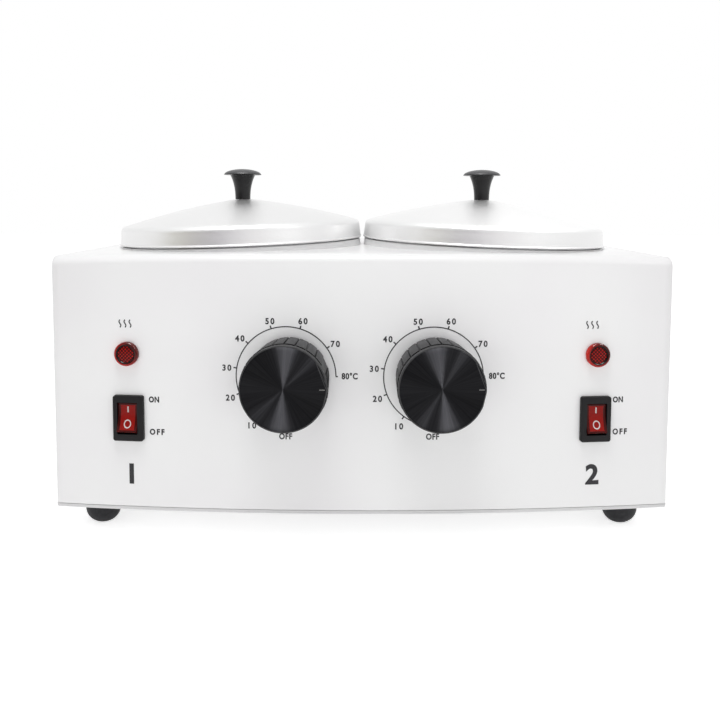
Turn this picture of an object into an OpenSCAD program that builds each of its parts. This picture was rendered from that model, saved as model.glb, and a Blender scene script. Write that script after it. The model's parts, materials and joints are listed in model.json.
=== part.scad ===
// Double-pot wax warmer for salon use.
// A folded sheet-metal housing with a bowed front carries two heated wells.
// Each well holds a lift-out pot under a spun lid, and has its own
// temperature dial, pilot lamp and rocker switch on the front panel.
// The origin lies on the table, under the middle of the overall box.
// +X runs to the right seen from the front, +Y to the rear, +Z up.

/* [Housing] */
// Width of the housing across its flat sides
body_w = 292; // [286:1:320]
// Depth from the front corners to the rear face
body_d = 150; // [146:1:170]
// Height of the cover from its lower edge to the deck's side edges
body_h = 117.6; // [110:0.2:130]
// How far the middle of the front panel bows out past its corners
front_bow = 8.7; // [4:0.1:12]
// How far the middle of the deck stands above its side edges
deck_crown = 1.8; // [0.6:0.1:3]
// Sheet thickness of the cover and the rear panel
sheet_t = 1.2; // [0.8:0.1:1.6]
// Outer radius of the bends round the deck and the front corners
bend_r = 2.5; // [2:0.1:4]
// Thickness of the base plate
base_t = 1.5; // [1:0.1:2]
// Shadow gap between the cover's lower edge and the base plate
seam_gap = 0.4; // [0.2:0.1:0.8]
// Height of the flanges that stand up from the base plate's sides
flange_h = 14; // [12:1:18]

/* [Feet] */
// Height of a rubber foot under the base plate
foot_h = 13.5; // [10:0.5:18]
// Radius of a foot where it meets the base plate
foot_r = 8.4; // [7:0.1:10]
// Radius of the rounding at the bottom of a foot
foot_round = 7; // [3:0.1:8]
// Outward lean of the feet
foot_lean = 17; // [0:1:20]
// Distance of the feet in from the side walls
foot_x = 19; // [17:1:35]
// Distance of the feet in from the front corners and the rear face
foot_inset = 18; // [15:1:30]

/* [Pots and wells] */
// Outer radius of the removable pot
pot_r = 55.8; // [50:0.2:57]
// Depth of the pot below its flange
pot_depth = 66; // [50:1:74]
// Wall thickness of the pot
pot_t = 1; // [0.8:0.1:1.4]
// Height of the pot's neck, from its flange to the rim
neck_h = 8.2; // [7:0.1:10]
// Width of the rolled bead round the pot's rim
bead_w = 1.5; // [1:0.1:2]
// Radial clearance between the pot and its well
pot_fit = 0.8; // [0.4:0.1:1.4]
// Wall thickness of the heated well
well_t = 1.5; // [1:0.1:2]
// Thickness of the well's flange
well_flange_t = 1; // [0.8:0.1:1.5]
// Height of the ring that is pressed up in the deck and carries the well
collar_h = 1.6; // [1.2:0.1:3]
// Radial gap between the well and the hole in that ring
collar_gap = 1.4; // [0.6:0.1:2]
// How far the pressed ring's wall lies inside the lid's lip
ring_in = 0.8; // [0.4:0.1:2]
// Outward lean of the wells, pots and lids
well_lean = 2; // [0:0.1:3]

/* [Lids] */
// Radial clearance between the pot's bead and the lid's skirt
lid_fit = 2.5; // [1:0.1:3]
// Sheet thickness of the lid
lid_t = 0.9; // [0.7:0.1:1.2]
// How far the bright lip at the skirt's lower edge stands out
lip_w = 0.4; // [0.3:0.1:1]
// Height of the lip
lip_h = 1; // [0.6:0.1:1.6]
// Height from the lid's lower edge to the point that its cone runs towards
lid_h = 23.6; // [20:0.2:28]
// Rise of the cone from the rounded shoulder to that point
lid_rise = 13.5; // [11:0.1:15]
// Slope of the cone where it meets the shoulder
lid_edge_a = 16.8; // [14:0.1:18]
// Radius of the lid's rounded shoulder
shoulder_r = 3.2; // [2.4:0.1:4]
// Height of the seat inside the lid above its lower edge
lid_seat_h = 8.7; // [8:0.1:8.8]
// How much wider the lid's skirt is at its lower edge than at the shoulder
skirt_flare = 0.6; // [0:0.1:1]
// Radius of the flat under the lid's knob
knob_land = 5; // [4.5:0.1:6]
// Gap between the two lids
lid_space = 0.6; // [0.4:0.1:4]
// Height of the lid's knob
lid_knob_h = 17; // [14:0.5:22]
// Radius of the knob's mushroom cap
lid_knob_r = 10.4; // [9:0.1:13]
// Radius of the knob's stem at the lid
lid_stem_r = 4.2; // [3.6:0.1:5]

/* [Temperature dials] */
// Distance of the dials from the middle, left and right
dial_x = 33.4; // [30:0.1:36]
// Height of the dials above the cover's lower edge
dial_up = 63.2; // [50:0.1:75]
// Radius of the grip blocks, halfway along them
dial_r = 18.8; // [16:0.1:20]
// Reach of the dial out from the panel
dial_len = 25.2; // [22:0.1:30]
// Running gap between the dial's back and the panel
dial_gap = 1.2; // [0.8:0.1:2]
// Number of grip blocks round the dial
grip_count = 24; // [18:1:30]
// Width of the groove between two grip blocks
grip_groove = 0.6; // [0.4:0.1:1]
// Height of the grip blocks, halfway along them
grip_h = 0.9; // [0.7:0.1:1.2]
// How much wider the blocks' front end is than their back end, in radius
grip_flare = 1; // [0:0.1:1.2]
// Width of the plain ring in front of the blocks
dial_ring = 2.8; // [2:0.1:4]
// Wall thickness of the dial's skirt
dial_wall = 2; // [1.6:0.1:3]
// Thickness of the spun face plate
face_t = 0.8; // [0.5:0.1:1.2]
// Radius of the thermostat's shaft
shaft_r = 3; // [2.5:0.1:3.5]

/* [Switches and lamps] */
// Distance of the switches in from the side walls
switch_x = 37; // [30:0.5:45]
// Height of the switches above the cover's lower edge
switch_up = 42.3; // [35:0.1:50]
// Width of the switch's bezel
bezel_w = 15; // [14:0.1:17]
// Height of the switch's bezel
bezel_h = 21.4; // [20:0.1:24]
// How far the bezel stands out of the panel
bezel_out = 2.2; // [1.5:0.1:3]
// Width of the rocker
rocker_w = 9; // [8:0.1:9.6]
// Radius of the rocker's ends about its pivot
rocker_r = 7.2; // [6.4:0.1:7.6]
// Rocker's swing from on to off
rocker_throw = 20; // [14:1:24]
// Distance of the pilot lamps in from the side walls
lamp_x = 36.8; // [30:0.1:45]
// Height of the pilot lamps above the cover's lower edge
lamp_up = 72.5; // [64:0.1:80]
// Radius of the lamp's lens
lamp_r = 5.6; // [5:0.1:7]
// How far the lens stands out of the panel
lamp_out = 2.6; // [2:0.1:4]

/* [Rear] */
// Radius of the cord gland's bore
gland_bore_r = 3.6; // [3:0.1:4.2]
// How far the gland stands out of the rear panel
gland_out = 12; // [8:0.5:16]
// Distance of the gland in from the right side wall
gland_x = 46; // [35:1:85]
// Height of the gland above the cover's lower edge
gland_up = 22; // [18:1:34]
// Number of vent slots in each group
vent_count = 9; // [5:1:11]
// Distance from one vent slot to the next
vent_pitch = 9; // [7:0.5:9]
// Length of a vent slot
vent_len = 34; // [20:1:44]

/* [Hidden] */
$fn = 64;
eps = 0.01;

// Levels above the table
base_z = foot_h + base_t;
cover_z = base_z + seam_gap;

// The housing's outline; the front and the deck both follow a parabola
half_w = body_w / 2;
stations = 14;
hull_fn = 32;
function bow(x) = 1 - pow(x / half_w, 2);
function panel_a(x) = atan(2 * front_bow * x / pow(half_w, 2));
dial_reach = dial_len * cos(panel_a(dial_x)) + dial_r * sin(panel_a(dial_x));
front_reach = front_bow * bow(dial_x) + dial_reach;
corner_y = (front_reach - body_d - gland_out) / 2;
rear_y = corner_y + body_d;
function front_y(x) = corner_y - front_bow * bow(x);
function deck_z(x) = cover_z + body_h + deck_crown * bow(x);

// Places across the housing, measured from its middle
feet_at = half_w - foot_x;
switches_at = half_w - switch_x;
lamps_at = half_w - lamp_x;
gland_at = half_w - gland_x;

// Radii from the pot outwards
well_ir = pot_r + pot_fit;
well_or = well_ir + well_t;
collar_ir = well_or + collar_gap;
collar_or = collar_ir + sheet_t;
ring_lean = 0.3;
neck_out = 0.8;
neck_r = collar_or + neck_out;
bead_r = neck_r + bead_w;
lid_ir = bead_r + lid_fit;
lid_wall_r = lid_ir + lid_t;
lid_r = lid_wall_r + lip_w;
ring_r = lid_r - ring_in;
well_x = lid_r + lid_space / 2;
well_y = corner_y + body_d / 2;

// Heights in a well's own frame, which starts on the deck and leans outwards
seat_gap = 0.1;
well_top = collar_h + well_flange_t;
pot_z = well_top + seat_gap;
pot_rim = pot_z + neck_h;
lid_z = pot_rim + seat_gap - lid_seat_h;
cup_gap = 0.5;
well_floor = pot_z - pot_depth - cup_gap;
cup_round = 6;
lid_shoulder_z = lid_h - lid_rise - shoulder_r * cos(lid_edge_a);
lid_arc_r = lid_wall_r - skirt_flare - shoulder_r;
lid_cone_r = lid_arc_r + shoulder_r * sin(lid_edge_a);
lid_bulge = tan(lid_edge_a) * lid_cone_r / lid_rise - 1;
function lid_cone(r) = let (u = max(r, knob_land) / lid_cone_r)
    lid_h - lid_rise * ((1 - lid_bulge) * u + lid_bulge * u * u);

// Heater band and insulation round each well
band_t = 1.4;
band_h = 38;
band_top = -14;
band_fit = 0.1;
band_r = well_or + band_fit + band_t;
band_split = 8;
ear_out = 2.6;
wool_t = 3;
wool_h = 52;
wool_top = -8;
wool_r = band_r + band_fit + wool_t;

// Thermostat behind each dial
thermo_w = 30;
thermo_h = 32;
thermo_d = 16;
bushing_r = 4.9;
bushing_out = 6;
panel_fit = 0.2;
nut_af = 13;
nut_t = 2.4;
run_fit = 0.05;
press_fit = 0.02;
shaft_in = 6;
hub_r = 6.2;
dial_front_t = 3.4;
dial_core_r = dial_r - grip_h;
dial_ring_r = dial_r + 0.2;
ring_groove = 0.8;
face_rim = 0.6;
face_r = dial_ring_r - face_rim;
index_w = 0.5;
index_len = 2.4;
index_in = 0.4;
index_deep = 0.2;

// Rocker switch
switch_body_w = 12.8;
switch_body_h = 19;
switch_body_d = 14;
rocker_clear = 0.3;
pivot_in = 0.6;
pivot_r = 1.2;
pivot_len = 1;
rocker_back = 3.2;
rocker_end = 3;
rocker_dip = 1.9;
rocker_frame = 1.3;
rocker_deep = 0.22;
bezel_round = 1.1;
bezel_seat = 0.05;
bezel_edge = 0.5;
window_d = 6.4;
blade_w = 4.8;
blade_t = 0.8;
blade_len = 7;
blade_y = 4.5;

// Pilot lamp; its sleeve ends at a set distance from the insulation
lamp_stem_r = 4.4;
lamp_stem_in = 4;
lamp_wool_gap = 9;
wool_side = lamps_at - lamp_stem_r - well_x;
wool_front = body_d / 2 - sqrt(max(0, pow(wool_r, 2) - pow(wool_side, 2)));
lamp_body_len = wool_front + front_bow * bow(lamps_at) - lamp_stem_in - lamp_wool_gap;
lamp_disc_r = 3.7;
lamp_groove_w = 0.35;
lamp_groove_d = 1.1;
clip_t = 0.6;
clip_r = 6.4;

// Screws, studs and nuts
screw_r = 1.5;
head_r = 2.9;
head_t = 1.8;
hole_fit = 0.2;
stud_r = 2;
stud_nut_af = 7;
stud_nut_t = 3.2;
stud_proud = 1.5;
stud_in = 6.9;
stud_end_gap = 0.1;
stud_top = base_z + seat_gap + stud_nut_t + stud_proud;
foot_over = 4;
foot_under = 1;
side_screw_in = 22;
screw_low = 8;
screw_mid = 34;
screw_high = body_h - 24;
rear_tab = 12;
rear_fit = 0.2;
plate_in = 0.3;
flange_over = 8;

// Rear panel and cord gland
gland_z = cover_z + gland_up;
gland_r = 8;
gland_flange_r = 11;
gland_flange_t = 3;
gland_nose_r = 6.6;
gland_in = 10;
gland_nut_r = 11.5;
gland_nut_t = 4;
vent_w = 3;
vent_up = 58;
block_back = 40;

// Screw places on the side walls: distance from the corner plane, height
side_screws = [
    [side_screw_in, screw_low], [body_d - side_screw_in, screw_low],
    [body_d - rear_tab / 2, screw_mid], [body_d - rear_tab / 2, screw_high]
];

// Points on an arc from angle a0 to a1
function arc(cx, cy, r, a0, a1, n) =
    [for (i = [0:n]) let (a = a0 + (a1 - a0) * i / n) [cx + r * cos(a), cy + r * sin(a)]];

// Outline of the housing in plan, drawn in from its faces by d
function plan(d) = let (r = bend_r - d, xs = half_w - bend_r)
    concat(
        arc(-xs, front_y(xs) + bend_r, r, 180, 270, 6),
        [for (i = [1:stations - 1]) let (x = -xs + 2 * xs * i / stations) [x, front_y(x) + d]],
        arc(xs, front_y(xs) + bend_r, r, 270, 360, 6),
        [[half_w - d, rear_y], [-half_w + d, rear_y]]
    );

// A place on the front panel: local x along it, y into the housing, z up
module at_panel(x, up) {
    translate([x, front_y(x), cover_z + up]) rotate([0, 0, panel_a(x)]) children();
}

// The same place with local z pointing out of the panel
module out_of_panel(x, up) {
    at_panel(x, up) rotate([90, 0, 0]) children();
}

// A well's own frame: origin on the deck, z along the well's leaning axis
module at_well(side) {
    translate([side * well_x, well_y, deck_z(well_x)]) rotate([0, side * well_lean, 0]) children();
}

// A place on a side wall: local z points out of the wall
module at_side(side, y, up) {
    translate([side * half_w, corner_y + y, cover_z + up]) rotate([0, side * 90, 0]) children();
}

module tube(r_out, r_in, h) {
    difference() {
        cylinder(r = r_out, h = h);
        translate([0, 0, -1]) cylinder(r = r_in, h = h + 2);
    }
}

module hex_nut(af, bore_r, h) {
    difference() {
        cylinder(r = af / sqrt(3), h = h, $fn = 6);
        translate([0, 0, -1]) cylinder(r = bore_r, h = h + 2);
    }
}

// A slot with round ends, its length along x, cut along z
module slot(len, w, h) {
    translate([-(len - w) / 2, -w / 2, 0]) cube([len - w, w, h]);
    for (s = [-1, 1])
        translate([s * (len - w) / 2, 0, 0]) cylinder(r = w / 2, h = h, $fn = 32);
}

// A pan-head screw: shank along -z, rounded head above z = 0, crossed recess
module pan_screw(len) {
    difference() {
        union() {
            translate([0, 0, -len]) cylinder(r = screw_r, h = len + eps, $fn = 32);
            rotate_extrude($fn = 32)
                polygon(concat([[0, 0], [head_r, 0]],
                    arc(head_r - 1.2, head_t - 1.2, 1.2, 0, 90, 5), [[0, head_t]]));
        }
        for (a = [0, 90])
            rotate([0, 0, a]) translate([-head_r * 0.6, -0.35, head_t - 0.8])
                cube([head_r * 1.2, 0.7, 2]);
    }
}

// Solid inside the housing's faces, drawn in by d: bent edges as balls on a
// grid of stations, so that bow, crown and bends run into each other
module housing_solid(d, z_low) {
    r = bend_r - d;
    xs = half_w - bend_r;
    far = rear_y + 2 * bend_r;
    hull() {
        for (i = [0:stations]) {
            x = -xs + 2 * xs * i / stations;
            for (y = [front_y(x) + bend_r, far]) {
                translate([x, y, deck_z(x) - bend_r]) sphere(r = r, $fn = hull_fn);
                translate([x, y, z_low]) cylinder(r = r, h = eps, $fn = hull_fn);
            }
        }
    }
}

module panel_cutouts() {
    for (s = [-1, 1]) {
        out_of_panel(s * dial_x, dial_up) translate([0, 0, -5])
            cylinder(r = bushing_r + hole_fit, h = 10);
        out_of_panel(s * lamps_at, lamp_up) translate([0, 0, -5])
            cylinder(r = lamp_stem_r + hole_fit, h = 10);
        at_panel(s * switches_at, switch_up)
            translate([-switch_body_w / 2 - hole_fit, -5, -switch_body_h / 2 - hole_fit])
                cube([switch_body_w + 2 * hole_fit, 10, switch_body_h + 2 * hole_fit]);
    }
}

module side_holes() {
    for (s = [-1, 1], p = side_screws)
        at_side(s, p[0], p[1]) translate([0, 0, -8])
            cylinder(r = screw_r + hole_fit, h = 12, $fn = 32);
}

// Cover: front, deck and sides in one piece, open below and behind; a ring
// with a flat top is pressed up round each well, square to the well's axis
module housing_shell() {
    ring_deep = collar_h + sheet_t;
    color("whitesmoke") difference() {
        union() {
            difference() {
                housing_solid(0, cover_z);
                housing_solid(sheet_t, cover_z - 1);
                translate([-body_w, rear_y, 0]) cube([2 * body_w, body_d, 2 * body_h]);
            }
            for (s = [-1, 1])
                at_well(s) translate([0, 0, -ring_deep])
                    cylinder(r1 = ring_r + ring_lean, r2 = ring_r, h = collar_h + ring_deep, $fn = 96);
        }
        for (s = [-1, 1])
            at_well(s) {
                translate([0, 0, -10]) cylinder(r = collar_ir, h = 20, $fn = 96);
                translate([0, 0, -ring_deep - 5])
                    cylinder(r = ring_r - sheet_t, h = ring_deep + 5 + collar_h - sheet_t, $fn = 96);
            }
        panel_cutouts();
        side_holes();
    }
}

// Rear panel: vented sheet with folded side tabs that the case screws hold
module rear_panel() {
    color("gainsboro") difference() {
        intersection() {
            housing_solid(sheet_t + rear_fit, base_z + seat_gap);
            union() {
                translate([-half_w, rear_y - sheet_t, 0]) cube([body_w, sheet_t, 2 * body_h]);
                for (s = [-1, 1])
                    translate([s * (half_w - sheet_t - rear_fit) - (s + 1) / 2 * sheet_t,
                        rear_y - rear_tab, base_z + flange_h + 1])
                        cube([sheet_t, rear_tab, body_h - flange_h - 12]);
            }
        }
        for (s = [-1, 1], i = [0:vent_count - 1])
            translate([s * well_x + (i - (vent_count - 1) / 2) * vent_pitch, rear_y + 1, cover_z + vent_up])
                rotate([90, 90, 0]) slot(vent_len, vent_w, sheet_t + 2);
        translate([gland_at, rear_y + 1, gland_z]) rotate([90, 0, 0])
            cylinder(r = gland_r + hole_fit, h = sheet_t + 2);
        side_holes();
    }
}

// Base plate with standing side flanges, stud holes and air slots
module base_plate() {
    side_x = half_w - sheet_t - rear_fit;
    flange_y = corner_y + foot_inset - flange_over;
    color("whitesmoke") difference() {
        union() {
            translate([0, 0, foot_h]) linear_extrude(base_t) polygon(plan(plate_in));
            for (s = [-1, 1])
                translate([s * side_x - (s + 1) / 2 * base_t, flange_y, base_z - eps])
                    cube([base_t, body_d - 2 * (foot_inset - flange_over), flange_h]);
        }
        for (s = [-1, 1], y = [corner_y + foot_inset, rear_y - foot_inset])
            translate([s * feet_at, y, foot_h - 1])
                cylinder(r = stud_r + hole_fit, h = base_t + 2, $fn = 32);
        for (s = [-1, 1], i = [-3:3])
            translate([s * well_x + i * vent_pitch, well_y, foot_h - 1])
                rotate([0, 0, 90]) slot(vent_len, vent_w, base_t + 2);
        side_holes();
    }
}

module case_screws() {
    color("silver") for (s = [-1, 1], p = side_screws)
        at_side(s, p[0], p[1]) translate([0, 0, 0.05]) pan_screw(6);
}

function foot_y(end) = end < 0 ? corner_y + foot_inset : rear_y - foot_inset;

// Rubber foot: a round-bottomed bumper that leans outwards, cut flat where
// it meets the base plate and the table
module foot(side, end) {
    low = -foot_h - foot_under;
    color("#2b2b2d") difference() {
        intersection() {
            translate([side * feet_at, foot_y(end), foot_h]) rotate([0, -side * foot_lean, 0])
                rotate_extrude()
                    polygon(concat([[0, foot_over], [0, low], [foot_r - foot_round, low]],
                        arc(foot_r - foot_round, low + foot_round, foot_round, 270, 360, 10),
                        [[foot_r, foot_over]]));
            translate([side * feet_at - 2 * foot_r, foot_y(end) - 2 * foot_r, 0])
                cube([4 * foot_r, 4 * foot_r, foot_h]);
        }
        translate([side * feet_at, foot_y(end), foot_h - stud_in - stud_end_gap])
            cylinder(r = stud_r + press_fit, h = stud_in + 1);
    }
}

// Threaded studs bonded into the feet
module foot_studs() {
    color("silver") for (s = [-1, 1], e = [-1, 1])
        translate([s * feet_at, foot_y(e), foot_h - stud_in])
            cylinder(r = stud_r, h = stud_top - foot_h + stud_in);
}

module foot_nuts() {
    color("silver") for (s = [-1, 1], e = [-1, 1])
        translate([s * feet_at, foot_y(e), base_z + seat_gap])
            hex_nut(stud_nut_af, stud_r + press_fit, stud_nut_t);
}

// Cord gland: nose and flange outside, threaded barrel through the panel
module cord_gland() {
    color("#1f1f21") translate([gland_at, rear_y, gland_z]) rotate([-90, 0, 0])
        rotate_extrude()
            polygon(concat(
                [[gland_bore_r, -gland_in], [gland_r, -gland_in], [gland_r, seat_gap],
                    [gland_flange_r, seat_gap]],
                arc(gland_flange_r - 0.8, gland_flange_t - 0.8, 0.8, 0, 90, 4),
                [[gland_nose_r + 0.8, gland_flange_t]],
                arc(gland_nose_r - 1, gland_out - 1, 1, 0, 90, 4),
                [[gland_bore_r, gland_out]]));
}

module gland_locknut() {
    color("#1f1f21")
        translate([gland_at, rear_y - sheet_t - seat_gap - gland_nut_t, gland_z]) rotate([-90, 0, 0])
            hex_nut(gland_nut_r * sqrt(3), gland_r + press_fit, gland_nut_t);
}

// Terminal block on the base plate
module terminal_block() {
    block_w = 42;
    block_d = 16;
    block_h = 14;
    ways = 4;
    color("ivory") translate([-block_w / 2, rear_y - block_back, base_z + seat_gap]) difference() {
        cube([block_w, block_d, block_h]);
        for (i = [0:ways - 1])
            translate([block_w * (i + 0.5) / ways, 0, 0]) {
                translate([0, -1, block_h * 0.4]) rotate([-90, 0, 0])
                    cylinder(r = 1.8, h = block_d + 2, $fn = 24);
                for (y = [block_d * 0.28, block_d * 0.72])
                    translate([0, y, block_h * 0.4]) cylinder(r = 1.6, h = block_h, $fn = 24);
            }
        for (i = [1:ways - 1])
            translate([block_w * i / ways - 0.6, -1, block_h - 3]) cube([1.2, block_d + 2, 4]);
    }
}

// Well: a thick aluminium cup that hangs by its flange on the deck's collar
module well(side) {
    color("silver") at_well(side) rotate_extrude($fn = 96)
        polygon(concat(
            [[0, well_floor - well_t]],
            arc(well_or - cup_round - well_t, well_floor + cup_round, cup_round + well_t, 270, 360, 6),
            [[well_or, collar_h + eps], [collar_or + bead_w + neck_out, collar_h + eps],
                [collar_or + bead_w + neck_out, well_top], [well_ir, well_top]],
            arc(well_ir - cup_round, well_floor + cup_round, cup_round, 360, 270, 6),
            [[0, well_floor]]));
}

// Heater band: split ring with two clamp ears at the split, behind the well
module heater_band(side) {
    color("darkgoldenrod") at_well(side) translate([0, 0, band_top - band_h]) difference() {
        union() {
            tube(band_r, well_or + band_fit, band_h);
            for (s = [-1, 1])
                translate([s * (band_split + band_t) / 2 - band_t / 2, well_or + band_fit + 0.6, 0])
                    cube([band_t, ear_out, band_h]);
        }
        translate([-band_split / 2, well_or - 5, -1]) cube([band_split, 20, band_h + 2]);
    }
}

// Glass-wool sleeve round the heater band, open where the band is clamped
module insulation(side) {
    gap = band_split + 4 * band_t;
    color("wheat") at_well(side) translate([0, 0, wool_top - wool_h]) difference() {
        tube(wool_r, band_r + band_fit, wool_h);
        translate([-gap / 2, well_or - 5, -1]) cube([gap, 20, wool_h + 2]);
    }
}

// Thermostat: case behind the panel and a bushing through it
module thermostat(side) {
    color("dimgray") out_of_panel(side * dial_x, dial_up) difference() {
        union() {
            translate([-thermo_w / 2, -thermo_h / 2, -sheet_t - panel_fit - thermo_d])
                cube([thermo_w, thermo_h, thermo_d]);
            translate([0, 0, -sheet_t - panel_fit - eps])
                cylinder(r = bushing_r, h = bushing_out + sheet_t + panel_fit + eps);
        }
        translate([0, 0, -shaft_in - 2]) cylinder(r = shaft_r + run_fit, h = bushing_out + shaft_in + 3);
    }
}

module bushing_nut(side) {
    color("silver") out_of_panel(side * dial_x, dial_up) translate([0, 0, seat_gap])
        hex_nut(nut_af, bushing_r + press_fit, nut_t);
}

// Dial shaft: from inside the thermostat into the dial's hub
module dial_shaft(side) {
    color("silver") out_of_panel(side * dial_x, dial_up) translate([0, 0, -shaft_in])
        cylinder(r = shaft_r, h = shaft_in + dial_len - dial_front_t - 0.2);
}

// Dial: hollow moulded knob with flared grip blocks, then a groove, a plain
// front ring and a central hub
module dial_knob(side) {
    front = dial_len - dial_front_t;
    ring_back = dial_len - dial_ring;
    block_end = ring_back - ring_groove;
    chamfer = 0.4;
    color("#1c1c1e") out_of_panel(side * dial_x, dial_up) difference() {
        union() {
            difference() {
                union() {
                    translate([0, 0, dial_gap])
                        cylinder(r1 = dial_r - grip_flare / 2, r2 = dial_r + grip_flare / 2,
                            h = block_end - dial_gap, $fn = 96);
                    rotate_extrude($fn = 96)
                        polygon([[0, dial_gap], [dial_core_r, dial_gap], [dial_core_r, ring_back],
                            [dial_ring_r, ring_back], [dial_ring_r, dial_len - chamfer],
                            [dial_ring_r - chamfer, dial_len], [0, dial_len]]);
                }
                for (i = [0:grip_count - 1])
                    rotate([0, 0, 360 * (i + 0.5) / grip_count])
                        translate([dial_core_r, -grip_groove / 2, 0])
                            cube([grip_h * 2, grip_groove, block_end + ring_groove / 2]);
                translate([0, 0, -1]) cylinder(r = dial_core_r - dial_wall, h = front + 1);
            }
            translate([0, 0, bushing_out + 1]) cylinder(r = hub_r, h = front - bushing_out - 1 + eps);
        }
        cylinder(r = shaft_r + press_fit, h = front);
        translate([0, 0, dial_len - face_t]) cylinder(r = face_r + 0.05, h = face_t + 1);
    }
}

// Spun face plate let into the dial's front, with an engraved index line
module dial_face(side) {
    color("#101011") out_of_panel(side * dial_x, dial_up) difference() {
        translate([0, 0, dial_len - face_t]) cylinder(r = face_r, h = face_t, $fn = 96);
        translate([face_r - index_len - index_in, -index_w / 2, dial_len - index_deep])
            cube([index_len, index_w, 1]);
    }
}

// A plate with round corners, centred in x and y
module round_plate(w, h, t, r) {
    translate([-w / 2 + r, -h / 2, 0]) cube([w - 2 * r, h, t]);
    translate([-w / 2, -h / 2 + r, 0]) cube([w, h - 2 * r, t]);
    for (x = [-1, 1], y = [-1, 1])
        translate([x * (w / 2 - r), y * (h / 2 - r), 0]) cylinder(r = r, h = t, $fn = 24);
}

// Switch frame: bezel outside, case through the panel, window for the rocker
module switch_frame(side) {
    window_w = rocker_w + 2 * rocker_clear;
    window_h = 2 * (rocker_r + rocker_clear);
    rim = 2 * bezel_edge;
    color("#202022") out_of_panel(side * switches_at, switch_up) difference() {
        union() {
            translate([0, 0, bezel_seat])
                round_plate(bezel_w, bezel_h, bezel_out - bezel_edge - bezel_seat, bezel_round);
            translate([0, 0, 2 * bezel_seat])
                round_plate(bezel_w - rim, bezel_h - rim, bezel_out - 2 * bezel_seat, bezel_round);
            translate([-switch_body_w / 2, -switch_body_h / 2, -switch_body_d])
                cube([switch_body_w, switch_body_h, switch_body_d + 0.5]);
        }
        translate([-window_w / 2, -window_h / 2, -window_d])
            cube([window_w, window_h, window_d + bezel_out + 1]);
        translate([-rocker_w / 2 - pivot_len - rocker_clear, 0, -pivot_in]) rotate([0, 90, 0])
            cylinder(r = pivot_r + run_fit, h = rocker_w + 2 * (pivot_len + rocker_clear), $fn = 32);
    }
}

// Two blade terminals behind each switch
module switch_blades(side) {
    color("goldenrod") out_of_panel(side * switches_at, switch_up)
        for (y = [-blade_y, blade_y])
            translate([-blade_w / 2, y - blade_t / 2, -switch_body_d - 0.05 - blade_len])
                cube([blade_w, blade_t, blade_len]);
}

// Rocker: dished face sunk inside a narrow frame, round ends and two pivot
// pins; at rest the upper half is pressed in
module rocker(side) {
    end_a = asin(rocker_end / rocker_r);
    back_a = asin(rocker_back / rocker_r);
    face_h = rocker_r * cos(end_a);
    sunk_w = rocker_w - 2 * rocker_frame;
    sunk_v = 1 - rocker_frame / face_h;
    function face_at(v) = -rocker_dip - (rocker_end - rocker_dip) * v * v;
    color("#b3201c") at_panel(side * switches_at, switch_up) translate([0, pivot_in, 0])
        rotate([-rocker_throw / 2, 0, 0]) {
            difference() {
                translate([-rocker_w / 2, 0, 0]) rotate([90, 0, 90]) linear_extrude(rocker_w)
                    polygon(concat(
                        arc(0, 0, rocker_r, 90 - back_a, 90 + end_a, 10),
                        [for (i = [1:9]) let (v = 1 - i / 5) [face_at(v), face_h * v]],
                        arc(0, 0, rocker_r, 270 - end_a, 270 + back_a, 10)));
                translate([-sunk_w / 2, 0, 0]) rotate([90, 0, 90]) linear_extrude(sunk_w)
                    polygon(concat(
                        [[-rocker_r, sunk_v * face_h]],
                        [for (i = [0:8]) let (v = sunk_v * (1 - i / 4))
                            [face_at(v) + rocker_deep, face_h * v]],
                        [[-rocker_r, -sunk_v * face_h]]));
            }
            translate([-rocker_w / 2 - pivot_len, 0, 0]) rotate([0, 90, 0])
                cylinder(r = pivot_r, h = rocker_w + 2 * pivot_len, $fn = 32);
        }
}

// Pilot lamp lens: rolled ring, groove and centre disc on a hollow stem
module lamp_lens(side) {
    edge = 0.9;
    disc_top = lamp_out - edge / 2;
    groove_r = lamp_disc_r + lamp_groove_w;
    color("#c41a1a") out_of_panel(side * lamps_at, lamp_up) rotate_extrude()
        polygon(concat(
            [[0, -lamp_stem_in + 1], [lamp_stem_r - 1, -lamp_stem_in + 1], [lamp_stem_r - 1, -lamp_stem_in],
                [lamp_stem_r, -lamp_stem_in], [lamp_stem_r, 0.1], [lamp_r, 0.1]],
            arc(lamp_r - edge, lamp_out - edge, edge, 0, 150, 6),
            [[groove_r, lamp_out - lamp_groove_d], [lamp_disc_r, lamp_out - lamp_groove_d],
                [lamp_disc_r, disc_top - 0.2], [lamp_disc_r - 0.2, disc_top], [0, disc_top + 0.3]]));
}

module lamp_body(side) {
    color("#252527") out_of_panel(side * lamps_at, lamp_up)
        translate([0, 0, -lamp_stem_in - lamp_body_len - seat_gap])
            cylinder(r = lamp_stem_r, h = lamp_body_len);
}

// Push-on spring washers that hold the lamps behind the panel
module lamp_clips() {
    color("silver") for (s = [-1, 1])
        out_of_panel(s * lamps_at, lamp_up) translate([0, 0, -sheet_t - 0.1 - clip_t])
            tube(clip_r, lamp_stem_r + press_fit, clip_t);
}

// Pot: drawn aluminium cup with a stepped flange, a neck and a rolled bead
module pot(side) {
    floor_z = pot_z - pot_depth;
    bead_h = 1.6;
    color("gainsboro") at_well(side) rotate_extrude($fn = 96)
        polygon(concat(
            [[0, floor_z]],
            arc(pot_r - cup_round, floor_z + cup_round, cup_round, 270, 360, 6),
            [[pot_r, pot_z], [neck_r, pot_z], [neck_r, pot_rim - bead_h]],
            arc(bead_r - bead_h / 2, pot_rim - bead_h / 2, bead_h / 2, 270, 450, 6),
            [[neck_r - pot_t, pot_rim], [neck_r - pot_t, pot_z + pot_t], [pot_r - pot_t, pot_z + pot_t]],
            arc(pot_r - cup_round, floor_z + cup_round, cup_round - pot_t, 360, 270, 6),
            [[0, floor_z + pot_t]]));
}

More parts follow.
